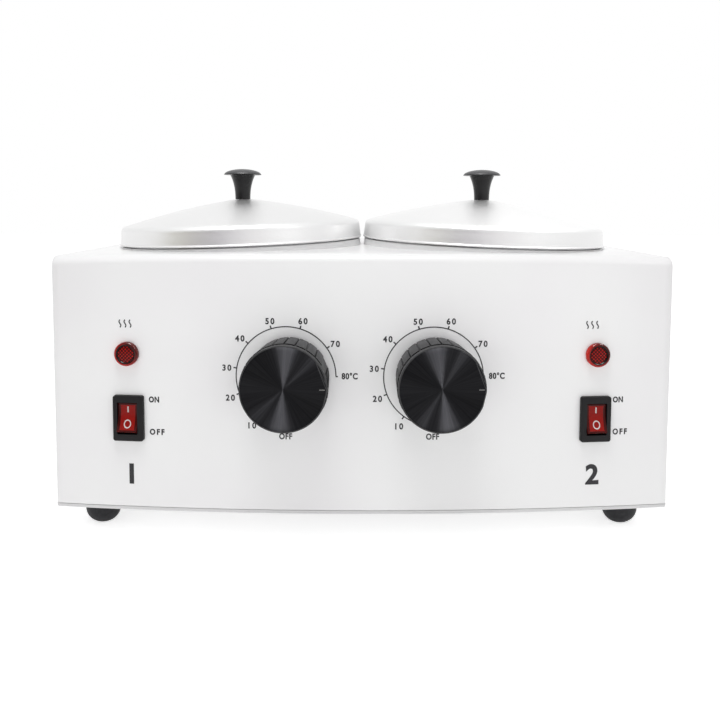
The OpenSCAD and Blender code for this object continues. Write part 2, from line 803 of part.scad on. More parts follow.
// Lid: spun cone with a rounded shoulder, a straight skirt and a bright lip
module lid(side) {
    seat_in = neck_r - 3;
    steps = 12;
    cone_step = (lid_cone_r - knob_land) / steps;
    seat_wall = lid_ir - skirt_flare;
    color("lightgray") at_well(side) translate([0, 0, lid_z]) difference() {
        rotate_extrude($fn = 128)
            polygon(concat(
                [[0, lid_cone(0)]],
                [for (i = [0:steps]) let (r = knob_land + cone_step * i) [r, lid_cone(r)]],
                arc(lid_arc_r, lid_shoulder_z, shoulder_r, 90 - lid_edge_a, 0, 6),
                [[lid_wall_r, lip_h + lip_w], [lid_r, lip_h], [lid_r, 0], [lid_ir, 0],
                    [seat_wall, lid_seat_h - 1], [seat_wall - 1, lid_seat_h], [seat_in, lid_seat_h]],
                [for (i = [steps - 2:-1:0]) let (r = knob_land + cone_step * i) [r, lid_cone(r) - lid_t]],
                [[0, lid_cone(0) - lid_t]]));
        translate([0, 0, -1]) cylinder(r = screw_r + hole_fit, h = lid_h + 2, $fn = 32);
    }
}

// Lid knob: mushroom cap on a flared stem, with a blind hole for the screw
module lid_knob(side) {
    cap_t = 0.5;
    dome_h = 2.8;
    flare_r = 6.6;
    flare_z = lid_knob_h - cap_t - dome_h;
    color("#1b1b1d") at_well(side) translate([0, 0, lid_z + lid_cone(0) + 0.05]) difference() {
        rotate_extrude()
            polygon(concat(
                [[0, 0], [lid_stem_r, 0]],
                [for (i = [1:10]) let (u = i / 10)
                    [lid_stem_r + (flare_r - lid_stem_r) * pow(u, 2.4), flare_z * u]],
                [[lid_knob_r - 0.6, flare_z + 0.1], [lid_knob_r, flare_z + cap_t]],
                [for (i = [9:-1:0]) let (u = i / 10)
                    [lid_knob_r * u, flare_z + cap_t + dome_h * sqrt(1 - u * u)]]));
        translate([0, 0, -1]) cylinder(r = screw_r + press_fit, h = 9, $fn = 32);
    }
}

// Screw that holds the knob from inside the lid, with its washer
module lid_screw(side) {
    washer_t = 0.8;
    washer_r = 5;
    seat = lid_t + 0.1;
    color("silver") at_well(side) translate([0, 0, lid_z + lid_cone(0) - seat - washer_t]) {
        rotate([180, 0, 0]) pan_screw(seat + washer_t + 6);
        translate([0, 0, 0.05]) tube(washer_r, screw_r + press_fit, washer_t - 0.05);
    }
}

housing_shell();
rear_panel();
base_plate();
case_screws();
foot(-1, -1);  // foot_front_left
foot(1, -1);  // foot_front_right
foot(-1, 1);  // foot_rear_left
foot(1, 1);  // foot_rear_right
foot_studs();
foot_nuts();
cord_gland();
gland_locknut();
terminal_block();
well(-1);  // well_left
well(1);  // well_right
heater_band(-1);  // heater_band_left
heater_band(1);  // heater_band_right
insulation(-1);  // insulation_left
insulation(1);  // insulation_right
thermostat(-1);  // thermostat_left
thermostat(1);  // thermostat_right
bushing_nut(-1);  // bushing_nut_left
bushing_nut(1);  // bushing_nut_right
switch_frame(-1);  // switch_frame_left
switch_frame(1);  // switch_frame_right
switch_blades(-1);  // switch_blades_left
switch_blades(1);  // switch_blades_right
lamp_lens(-1);  // lamp_lens_left
lamp_lens(1);  // lamp_lens_right
lamp_body(-1);  // lamp_body_left
lamp_body(1);  // lamp_body_right
lamp_clips();
dial_knob(-1);  // dial_knob_left
dial_knob(1);  // dial_knob_right
dial_face(-1);  // dial_face_left
dial_face(1);  // dial_face_right
dial_shaft(-1);  // dial_shaft_left
dial_shaft(1);  // dial_shaft_right
rocker(-1);  // rocker_left
rocker(1);  // rocker_right
pot(-1);  // pot_left
pot(1);  // pot_right
lid(-1);  // lid_left
lid(1);  // lid_right
lid_knob(-1);  // lid_knob_left
lid_knob(1);  // lid_knob_right
lid_screw(-1);  // lid_screw_left
lid_screw(1);  // lid_screw_right
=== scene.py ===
import json
import math

import bmesh
import bpy
from mathutils import Matrix, Vector


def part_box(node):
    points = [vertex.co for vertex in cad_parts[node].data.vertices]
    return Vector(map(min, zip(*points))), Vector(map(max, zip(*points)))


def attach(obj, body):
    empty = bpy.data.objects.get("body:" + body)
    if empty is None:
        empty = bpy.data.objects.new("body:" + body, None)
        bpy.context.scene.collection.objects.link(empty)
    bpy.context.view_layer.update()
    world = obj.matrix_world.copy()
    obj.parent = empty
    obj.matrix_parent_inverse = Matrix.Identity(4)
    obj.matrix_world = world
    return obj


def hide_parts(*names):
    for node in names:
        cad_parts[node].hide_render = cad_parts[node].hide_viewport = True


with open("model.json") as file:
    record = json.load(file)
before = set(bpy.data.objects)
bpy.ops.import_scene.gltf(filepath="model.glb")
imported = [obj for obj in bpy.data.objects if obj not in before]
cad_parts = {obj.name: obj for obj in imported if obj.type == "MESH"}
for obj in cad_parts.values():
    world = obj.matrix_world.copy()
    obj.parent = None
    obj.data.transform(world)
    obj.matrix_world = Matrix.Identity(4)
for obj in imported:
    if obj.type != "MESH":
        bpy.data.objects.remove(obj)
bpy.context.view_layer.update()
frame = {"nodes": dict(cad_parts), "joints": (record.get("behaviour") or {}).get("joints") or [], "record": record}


# ---- Camera -------------------------------------------------------------
# A short lens at arm's length, a hand's breadth above the deck and aimed a
# little down, with the frame shifted so that the housing sits in the middle.
mm = 0.001
shell_low, shell_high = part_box("housing_shell")
half_w = shell_high.x
front_bow = 8.7 * mm
corner_y = shell_low.y + front_bow
rear_y = shell_high.y

image_px = 720
focal_px = 734.75
centre_px = (361.8, 248.81)
camera_pitch = math.radians(3.70)
camera_yaw = math.radians(0.22)
camera_roll = math.radians(0.19)
camera_place = Vector((-1.79 * mm, corner_y - 341.62 * mm, 158.77 * mm))


def add_object(name, data):
    """A new object at the origin, put in the scene."""
    made = bpy.data.objects.new(name, data)
    bpy.context.scene.collection.objects.link(made)
    return made


camera_data = bpy.data.cameras.new("studio_camera")
camera_data.sensor_width = 36
camera_data.lens = focal_px / image_px * camera_data.sensor_width
camera_data.shift_x = (image_px / 2 - centre_px[0]) / image_px
camera_data.shift_y = (centre_px[1] - image_px / 2) / image_px
camera_data.clip_start = 0.01
camera = add_object("studio_camera", camera_data)
camera.matrix_world = (
    Matrix.Translation(camera_place)
    @ Matrix.Rotation(-camera_yaw, 4, "Z")
    @ Matrix.Rotation(math.pi / 2 - camera_pitch, 4, "X")
    @ Matrix.Rotation(camera_roll, 4, "Z")
)
bpy.context.scene.camera = camera
bpy.context.scene.view_settings.view_transform = "Standard"


# ---- Cover --------------------------------------------------------------
# Steel sheet of 1.2 mm, folded over the deck and down the sides, rolled to a
# slow bow in front and crowned on top, then powder coated a glossy white.
# Two round wells, the dial bushings, lamps and switches pass through it.
sheet_t = 1.2 * mm
bend_r = 4.6 * mm
side_squeeze = 0.4
deck_crown = 1.8 * mm
cover_z = shell_low.z
deck_side_z = cover_z + 117.6 * mm
cover_strips = 44
well_hole_r = 65 * mm
joints = {j["name"]: j for j in frame["joints"]}


def bow_share(x):
    return 1 - (x / half_w) ** 2


def front_y(x):
    return corner_y - front_bow * bow_share(x)


def joint_frame(name, along):
    """The joint's own frame: its axis is z out of a panel or up a well, or x along a pin."""
    axis = Vector(joints[name]["axis"]).normalized()
    if along == "up":
        x_axis = Vector((axis.z, 0, -axis.x))
        basis = (x_axis, axis.cross(x_axis), axis)
    else:
        up = Vector((0, 0, 1))
        basis = (up.cross(axis), up, axis) if along == "out" else (axis, up, axis.cross(up))
    turn = Matrix(basis).transposed().to_4x4()
    return Matrix.Translation(Vector(joints[name]["pos_m"])) @ turn


def panel_frame(x, up):
    """A place on the front panel: local x along it, y up, z out of it."""
    slope = math.atan(2 * front_bow * x / half_w**2)
    place = Vector((x, front_y(x), cover_z + up))
    return (
        Matrix.Translation(place)
        @ Matrix.Rotation(slope, 4, "Z")
        @ Matrix.Rotation(math.pi / 2, 4, "X")
    )


def linear(hex_code):
    """An sRGB hex colour as the linear colour that shaders take."""
    parts = [int(hex_code[i:i + 2], 16) / 255 for i in (1, 3, 5)]
    light = [c / 12.92 if c <= 0.04045 else ((c + 0.055) / 1.055) ** 2.4 for c in parts]
    return [*light, 1]


def add_node(tree, kind, sockets=None, **settings):
    """Adds a shader node; sockets gives each input a value, or an output to link to it."""
    node = tree.nodes.new("ShaderNode" + kind)
    for name, value in settings.items():
        setattr(node, name, value)
    for key, value in (sockets or {}).items():
        if isinstance(value, bpy.types.NodeSocket):
            tree.links.new(value, node.inputs[key])
        else:
            node.inputs[key].default_value = value
    return node


def new_material(name, hex_code, roughness, metallic=0.0, **extra):
    """A material with one Principled shader; returns it, its node tree and the shader."""
    material = bpy.data.materials.new(name)
    material.use_nodes = True
    tree = material.node_tree
    shader = tree.nodes["Principled BSDF"]
    shader.inputs["Base Color"].default_value = linear(hex_code)
    shader.inputs["Roughness"].default_value = roughness
    shader.inputs["Metallic"].default_value = metallic
    for socket, value in extra.items():
        shader.inputs[socket.replace("_", " ")].default_value = value
    return material, tree, shader


def noise(tree, size_mm, detail=2.0):
    """Noise whose blotches are about size_mm across, as an output to link."""
    coords = add_node(tree, "TexCoord")
    return add_node(tree, "TexNoise", {
        "Vector": coords.outputs["Object"], "Scale": 1 / (size_mm * mm),
        "Detail": detail}).outputs["Fac"]


def add_bump(tree, shader, height, depth_mm, strength=1.0):
    bump = add_node(tree, "Bump", {
        "Strength": strength, "Distance": depth_mm * mm, "Height": height})
    tree.links.new(bump.outputs["Normal"], shader.inputs["Normal"])


def tint(tree, shader, factor, dark, light, low=0.35, high=0.65):
    """Base colour that runs from dark to light as factor goes from low to high."""
    ramp = add_node(tree, "ValToRGB", {"Fac": factor})
    ramp.color_ramp.elements[0].position = low
    ramp.color_ramp.elements[1].position = high
    ramp.color_ramp.elements[0].color = linear(dark)
    ramp.color_ramp.elements[1].color = linear(light)
    tree.links.new(ramp.outputs["Color"], shader.inputs["Base Color"])


def rough_range(tree, shader, factor, low, high):
    """Roughness that runs from low to high with factor."""
    spread = add_node(tree, "MapRange", {"Value": factor, "To Min": low, "To Max": high})
    tree.links.new(spread.outputs["Result"], shader.inputs["Roughness"])


def powder_coat():
    """Powder coat: baked polyester with a faint orange peel and a soft gloss."""
    material, tree, shader = new_material(
        "powder_coat_white", "#F1F1F1", 0.32, Coat_Weight=0.25, Coat_Roughness=0.12)
    peel = noise(tree, 0.9)
    add_bump(tree, shader, peel, 0.012, 0.35)
    drift = noise(tree, 60, 1.0)
    tint(tree, shader, drift, "#F0EFF0", "#F2F2F2")
    return material


def face_outwards(bm):
    bmesh.ops.recalc_face_normals(bm, faces=bm.faces)


def move(bm, matrix):
    bmesh.ops.transform(bm, matrix=matrix, verts=bm.verts)


def bevel(bm, edges, width, segments, clamp=False):
    """Rounds edges off."""
    bmesh.ops.bevel(
        bm, geom=edges, offset=width, offset_type="OFFSET", segments=segments, profile=0.5,
        affect="EDGES", material=-1, clamp_overlap=clamp)


def as_mesh(name, bm):
    """Turns a finished bmesh into a mesh."""
    mesh = bpy.data.meshes.new(name)
    bm.to_mesh(mesh)
    bm.free()
    return mesh


def shade(mesh, smooth_angle=35):
    """Shades a mesh smooth but for its sharp edges."""
    for face in mesh.polygons:
        face.use_smooth = True
    mesh.set_sharp_from_angle(angle=math.radians(smooth_angle))


def new_piece(name, bm, material, smooth_angle=35):
    """Turns a finished bmesh into a piece with one material."""
    mesh = as_mesh(name, bm)
    mesh.materials.append(material)
    shade(mesh, smooth_angle)
    piece = add_object(name, mesh)
    return piece


def fit(piece, body, slot_name, *nodes):
    """Parents the piece to the body it rides on and hides the CAD nodes that it stands for; slot_name is not used.
    """
    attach(piece, body)
    if nodes:
        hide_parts(*nodes)
    return piece


def cut(piece, cutter_bms):
    """Cuts closed shapes out of a piece and keeps the result as its mesh."""
    cutters = []
    for bm in cutter_bms:
        face_outwards(bm)
        cutter = add_object("cutter", as_mesh("cutter", bm))
        cutters.append(cutter)
        modifier = piece.modifiers.new("cut", "BOOLEAN")
        modifier.operation = "DIFFERENCE"
        modifier.solver = "EXACT"
        modifier.object = cutter
    graph = bpy.context.evaluated_depsgraph_get()
    mesh = bpy.data.meshes.new_from_object(piece.evaluated_get(graph))
    piece.modifiers.clear()
    piece.data = mesh
    for cutter in cutters:
        bpy.data.objects.remove(cutter)
    shade(mesh)


def rod(radius, low, high, place, segments=64):
    """A closed cylinder from low to high along a frame's z axis."""
    bm = bmesh.new()
    bmesh.ops.create_cone(
        bm, cap_ends=True, segments=segments, radius1=radius, radius2=radius, depth=high - low,
        matrix=place @ Matrix.Translation((0, 0, (low + high) / 2)))
    return bm


def block(size, centre, place):
    """A closed box in a frame."""
    bm = bmesh.new()
    bmesh.ops.create_cube(
        bm, size=1, matrix=place @ Matrix.Translation(centre) @ Matrix.Diagonal((*size, 1)))
    return bm


enamel = powder_coat()
bm = block(
    (2 * half_w, rear_y - corner_y, deck_side_z - cover_z),
    (0, (rear_y + corner_y) / 2, (deck_side_z + cover_z) / 2), Matrix.Identity(4))
bm.normal_update()
open_faces = [f for f in bm.faces if f.normal.z < -0.5 or f.normal.y > 0.5]
bmesh.ops.delete(bm, geom=open_faces, context="FACES")
bends = [e for e in bm.edges if len(e.link_faces) == 2]
bevel(bm, bends, bend_r, 8)
for strip in range(1, cover_strips):
    x = -half_w + 2 * half_w * strip / cover_strips
    bmesh.ops.bisect_plane(
        bm, geom=bm.verts[:] + bm.edges[:] + bm.faces[:], plane_co=(x, 0, 0),
        plane_no=(1, 0, 0))
bend_zone = bend_r * 1.01
for vert in bm.verts:
    # the upright bends are sharper than the long one in front
    inside = half_w - abs(vert.co.x)
    if inside < bend_r:
        vert.co.x = math.copysign(half_w - side_squeeze * inside, vert.co.x)
    share = bow_share(vert.co.x)
    if vert.co.z > deck_side_z - bend_zone:
        vert.co.z += deck_crown * share
    if vert.co.y < corner_y + bend_zone:
        vert.co.y -= front_bow * share
face_outwards(bm)
bmesh.ops.solidify(bm, geom=bm.faces[:], thickness=sheet_t)
face_outwards(bm)
cover = new_piece("cover", bm, enamel)

bushing_hole_r = 5.1 * mm
lamp_hole_r = 4.6 * mm
switch_hole_w, switch_hole_h = 13.2 * mm, 19.4 * mm
lamp_x, lamp_up = 109.2 * mm, 72.5 * mm
switch_x, switch_up = 109 * mm, 42.3 * mm
through = 10 * mm
holes = []
for side, hand in ((-1, "left"), (1, "right")):
    well_place = joint_frame(f"pot_{hand}_lift", "up")
    dial_place = joint_frame(f"dial_{hand}_turn", "out")
    holes += [
        rod(well_hole_r, -through, through, well_place, 128),
        rod(bushing_hole_r, -through, through, dial_place),
        rod(lamp_hole_r, -through, through, panel_frame(side * lamp_x, lamp_up)),
        block((switch_hole_w, switch_hole_h, 2 * through), (0, 0, 0),
              panel_frame(side * switch_x, switch_up))]
cut(cover, holes)
fit(cover, "housing", "white_enamel", "housing_shell")


# ---- Pressed rings ------------------------------------------------------
# Round each well the deck is pressed up into a low ring with a flat top,
# square to the well's leaning axis; the lid's lip hovers just above it.
collar_ir = 59.5 * mm
ring_r = 66 * mm
ring_h = 1.6 * mm
ring_foot = 2.8 * mm
ring_lean = 0.3 * mm


def arc(centre, radius, start, end, steps):
    """Points on an arc, angles in degrees."""
    points = []
    for i in range(steps + 1):
        angle = math.radians(start + (end - start) * i / steps)
        across, up = radius * math.cos(angle), radius * math.sin(angle)
        points.append((centre[0] + across, centre[1] + up))
    return points


def spun(profile, place, segments=128, closed=False):
    """Revolves a profile of (radius, height) points about a frame's z axis."""
    bm = bmesh.new()
    verts = [bm.verts.new((r, 0, z)) for r, z in profile]
    for a, b in zip(verts, verts[1:]):
        bm.edges.new((a, b))
    if closed:
        bm.edges.new((verts[-1], verts[0]))
    bmesh.ops.spin(
        bm, geom=bm.verts[:] + bm.edges[:], cent=(0, 0, 0), axis=(0, 0, 1),
        angle=2 * math.pi, steps=segments, use_merge=True)
    bmesh.ops.remove_doubles(bm, verts=bm.verts, dist=1e-6)
    face_outwards(bm)
    move(bm, place)
    return bm


for hand in ("left", "right"):
    edge = 0.5 * mm
    profile = (
        [(ring_r + ring_lean, -ring_foot), (ring_r, ring_h - edge)]
        + arc((ring_r - edge, ring_h - edge), edge, 0, 90, 5)
        + [(collar_ir + 0.2 * mm, ring_h), (collar_ir, ring_h - 0.2 * mm),
           (collar_ir, ring_h - sheet_t), (ring_r - sheet_t, ring_h - sheet_t),
           (ring_r - sheet_t, -ring_foot)]
    )
    bm = spun(profile, joint_frame(f"pot_{hand}_lift", "up"), 192, closed=True)
    fit(new_piece(f"pressed_ring_{hand}", bm, enamel), "housing", "white_enamel")


# ---- Wells --------------------------------------------------------------
# Thick drawn aluminium cups that hang by their flanges on the collars and
# carry the heater bands. Dull inside, with the rings of the drawing die.
well_top = 2.6 * mm
well_ir = 56.6 * mm
well_or = 58.1 * mm
well_flange_r = 63 * mm
pot_depth = 66 * mm
well_floor = well_top - pot_depth - 0.4 * mm
well_t = 1.5 * mm
cup_round = 6 * mm
seat_gap = 0.01 * mm


def local_coords(tree, place):
    """Object coordinates seen from a piece's own frame."""
    coords = add_node(tree, "TexCoord")
    mapping = add_node(tree, "Mapping", {
        "Vector": coords.outputs["Object"], "Location": place.translation,
        "Rotation": place.to_euler()}, vector_type="TEXTURE")
    return mapping.outputs["Vector"]


def rings(tree, place, spacing_mm, distortion=0.0):
    """Concentric rings about a frame's z axis, spacing_mm apart."""
    # a wave of scale s has a period of 2 pi / 20 s
    return add_node(tree, "TexWave", {
        "Vector": local_coords(tree, place), "Scale": math.pi / (10 * spacing_mm * mm),
        "Distortion": distortion, "Detail": 1.0},
        wave_type="RINGS", rings_direction="Z").outputs["Fac"]


def drawn_aluminium(name, place):
    """Deep-drawn aluminium: matt grey metal with fine rings left by the die."""
    material, tree, shader = new_material(name, "#C9C9CB", 0.42, 1.0)
    marks = rings(tree, place, 1.1, 0.6)
    add_bump(tree, shader, marks, 0.01, 0.3)
    cloud = noise(tree, 14)
    rough_range(tree, shader, cloud, 0.34, 0.5)
    return material


for hand in ("left", "right"):
    place = joint_frame(f"pot_{hand}_lift", "up")
    outer_round = cup_round + well_or - well_ir
    profile = (
        [(0, well_floor - well_t)]
        + arc((well_or - outer_round, well_floor + cup_round), outer_round, 270, 360, 8)
        + [(well_or, ring_h + seat_gap), (well_flange_r, ring_h + seat_gap),
           (well_flange_r, well_top - 0.2 * mm), (well_flange_r - 0.2 * mm, well_top),
           (well_ir + 0.3 * mm, well_top), (well_ir, well_top - 0.3 * mm)]
        + arc((well_ir - cup_round, well_floor + cup_round), cup_round, 360, 270, 8)
        + [(0, well_floor)]
    )
    metal = drawn_aluminium(f"drawn_aluminium_well_{hand}", place)
    well = new_piece(f"well_cup_{hand}", spun(profile, place), metal)
    fit(well, "housing", "pot_aluminium", f"well_{hand}")


# ---- Pots ---------------------------------------------------------------
# Lift-out wax pots in thin drawn aluminium: a straight cup, a step that rests
# on the well's flange, a short neck and a rim rolled outwards into a bead.
pot_z = 2.7 * mm
pot_rim = 10.9 * mm
pot_r = 55.8 * mm
pot_t = 1 * mm
neck_r = 61.5 * mm
bead_r = 63 * mm
bead_h = 1.6 * mm

for hand in ("left", "right"):
    place = joint_frame(f"pot_{hand}_lift", "up")
    floor_z = pot_z - pot_depth
    step = 0.5 * mm
    profile = (
        [(0, floor_z)]
        + arc((pot_r - cup_round, floor_z + cup_round), cup_round, 270, 360, 8)
        + [(pot_r, pot_z)]
        + arc((neck_r - step, pot_z + step), step, 270, 360, 4)
        + [(neck_r, pot_rim - bead_h)]
        + arc((bead_r - bead_h / 2, pot_rim - bead_h / 2), bead_h / 2, 270, 450, 10)
        + [(neck_r - pot_t + step, pot_rim), (neck_r - pot_t, pot_rim - step),
           (neck_r - pot_t, pot_z + pot_t + step), (neck_r - pot_t - step, pot_z + pot_t),
           (pot_r - pot_t + step, pot_z + pot_t), (pot_r - pot_t, pot_z + pot_t - step)]
        + arc((pot_r - cup_round, floor_z + cup_round), cup_round - pot_t, 360, 270, 8)
        + [(0, floor_z + pot_t)]
    )
    metal = drawn_aluminium(f"drawn_aluminium_pot_{hand}", place)
    pot = new_piece(f"wax_pot_{hand}", spun(profile, place), metal)
    fit(pot, f"wax_pot_{hand}", "pot_aluminium", f"pot_{hand}")


# ---- Lids ---------------------------------------------------------------
# Spun aluminium of 0.9 mm: a slightly swelling cone, a rounded shoulder, a
# skirt that flares a little and a bright lip along it. Sanded to a satin.
lid_z = 2.3 * mm
lid_t = 0.9 * mm
lid_ir = 65.5 * mm
lid_wall_r = 66.4 * mm
lid_r = 66.8 * mm
lid_h = 23.6 * mm
lid_rise = 13.5 * mm
lid_edge = math.radians(16.8)
shoulder_r = 3.2 * mm
skirt_flare = 0.6 * mm
seat_h = 8.7 * mm
seat_in = 58.5 * mm
lip_h = 1 * mm
knob_land = 5 * mm
lid_shoulder_z = lid_h - lid_rise - shoulder_r * math.cos(lid_edge)
lid_arc_r = lid_wall_r - skirt_flare - shoulder_r
lid_cone_r = lid_arc_r + shoulder_r * math.sin(lid_edge)
lid_bulge = math.tan(lid_edge) * lid_cone_r / lid_rise - 1


def lid_cone(radius):
    """Height of the lid's upper side at a radius; flat under the knob."""
    u = max(radius, knob_land) / lid_cone_r
    return lid_h - lid_rise * ((1 - lid_bulge) * u + lid_bulge * u * u)


def satin_aluminium(name, place):
    """Satin aluminium: sanded on the lathe, so its grain runs round in fine rings."""
    material, tree, shader = new_material(name, "#EAEAEA", 0.38, 1.0)
    # grains of the sanding, coarser than real so that they show
    speckle = noise(tree, 0.9, 2.0)
    grain = rings(tree, place, 0.7, 1.5)
    both = add_node(tree, "Math", {
        0: speckle, 1: 0.5, 2: grain}, operation="MULTIPLY_ADD")
    add_bump(tree, shader, both.outputs["Value"], 0.06, 0.8)
    rough_range(tree, shader, speckle, 0.32, 0.44)
    return material


lids = {}
for hand in ("left", "right"):
    place = joint_frame(f"pot_{hand}_lift", "up") @ Matrix.Translation((0, 0, lid_z))
    hole_r = 1.7 * mm
    steps = 18
    cone_radii = [knob_land + (lid_cone_r - knob_land) * i / steps for i in range(steps + 1)]
    lip_round = 0.3 * mm
    seat_wall = lid_ir - skirt_flare
    profile = (
        [(hole_r, lid_cone(0))]
        + [(r, lid_cone(r)) for r in cone_radii]
        + arc((lid_arc_r, lid_shoulder_z), shoulder_r, 90 - math.degrees(lid_edge), 4, 8)
        + [(lid_wall_r, lip_h + 0.4 * mm), (lid_r - lip_round, lip_h)]
        + arc((lid_r - lip_round, lip_h / 2), lip_round, 60, -60, 4)
        + [(lid_r - lip_round, 0), (lid_ir, 0), (seat_wall, seat_h - 1 * mm),
           (seat_wall - 1 * mm, seat_h), (seat_in, seat_h)]
        + [(r, lid_cone(r) - lid_t) for r in reversed(cone_radii[:-2])]
        + [(hole_r, lid_cone(0) - lid_t)]
    )
    lid = new_piece(
        f"spun_lid_{hand}", spun(profile, place, 192, closed=True),
        satin_aluminium(f"satin_aluminium_lid_{hand}", place), 28)
    fit(lid, f"pot_lid_{hand}", "lid_aluminium", f"lid_{hand}")
    lids[hand] = lid


# ---- Lid knobs ----------------------------------------------------------
# Black phenolic knobs: a thin mushroom cap on a stem that flares up into it,
# compression moulded and polished, held by a screw from inside the lid.
lid_knob_h = 17 * mm
lid_knob_r = 10.4 * mm
stem_r = 4.2 * mm
flare_r = 6.9 * mm
cap_t = 0.5 * mm
dome_h = 2.8 * mm
flare_z = lid_knob_h - cap_t - dome_h
thread_r, thread_h = 1.52 * mm, 8 * mm


def phenolic(name, dark, light, gloss, roughness):
    """Phenolic: hard black moulding with a few specks; given lighter greys, it paints the sheen on the cap's top.
    """
    material, tree, shader = new_material(name, dark, roughness, Specular_IOR_Level=gloss)
    speck = noise(tree, 0.7, 4.0)
    rough_range(tree, shader, speck, 0.8 * roughness, 1.2 * roughness)
    tint(tree, shader, speck, dark, light, 0.4, 0.7)
    add_bump(tree, shader, speck, 0.006, 0.2)
    return material


stem_black = phenolic("phenolic_black", "#0B0B0D", "#151517", 0.34, 0.32)
# the cap is painted a lighter grey than the stem: a painted sheen, its reflection of the white room
cap_painted_sheen = phenolic("phenolic_black_dulled", "#39393B", "#454548", 0.6, 0.42)
for hand in ("left", "right"):
    lid_place = joint_frame(f"pot_{hand}_lift", "up")
    # the knob stands upright on the leaning lid, a little towards the middle
    lean = math.atan2(lid_place[0][2], lid_place[2][2])
    inwards = math.copysign(0.5 * mm, -lid_place.translation.x)
    place = lid_place @ Matrix.Translation((inwards, 0, lid_z + lid_cone(0)))
    place = place @ Matrix.Rotation(-lean, 4, "Y")
    steps = 14
    rim = 0.25 * mm
    profile = (
        [(0, thread_h), (thread_r, thread_h), (thread_r, 0), (stem_r - 0.2 * mm, 0),
         (stem_r, 0.2 * mm)]
        + [(stem_r + (flare_r - stem_r) * (i / steps) ** 2.4, flare_z * i / steps)
           for i in range(1, steps + 1)]
        + [(lid_knob_r - 2 * rim, flare_z + cap_t - 2 * rim)]
        + arc((lid_knob_r - rim, flare_z + cap_t - rim), rim, -50, 50, 4)
        + [((lid_knob_r - rim) * math.sin(math.radians(a)),
            flare_z + cap_t + dome_h * math.cos(math.radians(a)) ** 1.15)
           for a in range(82, 0, -8)]
        + [(0, flare_z + cap_t + dome_h)]
    )
    lid_knob = new_piece(f"mushroom_knob_{hand}", spun(profile, place, 64), stem_black)
    lid_knob.data.materials.append(cap_painted_sheen)
    back = place.inverted()
    for facet in lid_knob.data.polygons:
        facet.material_index = int((back @ facet.center).z > flare_z + cap_t)
    fit(lid_knob, f"pot_lid_{hand}", "black_plastic", f"lid_knob_{hand}")


# ---- Dials --------------------------------------------------------------
# Hollow black mouldings that push onto the thermostat shafts: 24 flared grip
# blocks with rounded edges round a drum, then a groove and a plain ring.
dial_r = 18.8 * mm
dial_len = 25.19 * mm
dial_gap = 1.2 * mm
dial_ring = 2.8 * mm
dial_wall = 2 * mm
dial_front = 3.4 * mm
grip_count = 24
grip_groove = 0.6 * mm
grip_h = 0.9 * mm
grip_flare = 1 * mm
face_t = 0.8 * mm
core_r = dial_r - grip_h
dial_ring_r = dial_r + 0.2 * mm
ring_groove = 0.8 * mm
face_r = dial_ring_r - 0.6 * mm
hub_r = 6.2 * mm
hub_back = 7 * mm
shaft_r = 3.02 * mm


def mottled(
        name, hex_code, roughness, dark, light, size_mm, detail=3.0, metallic=0.0,
        bump=None, **extra):
    """A finish whose colour drifts from dark to light in blotches; bump is depth, strength."""
    material, tree, shader = new_material(name, hex_code, roughness, metallic, **extra)
    blotches = noise(tree, size_mm, detail)
    tint(tree, shader, blotches, dark, light)
    if bump:
        add_bump(tree, shader, blotches, *bump)
    return material


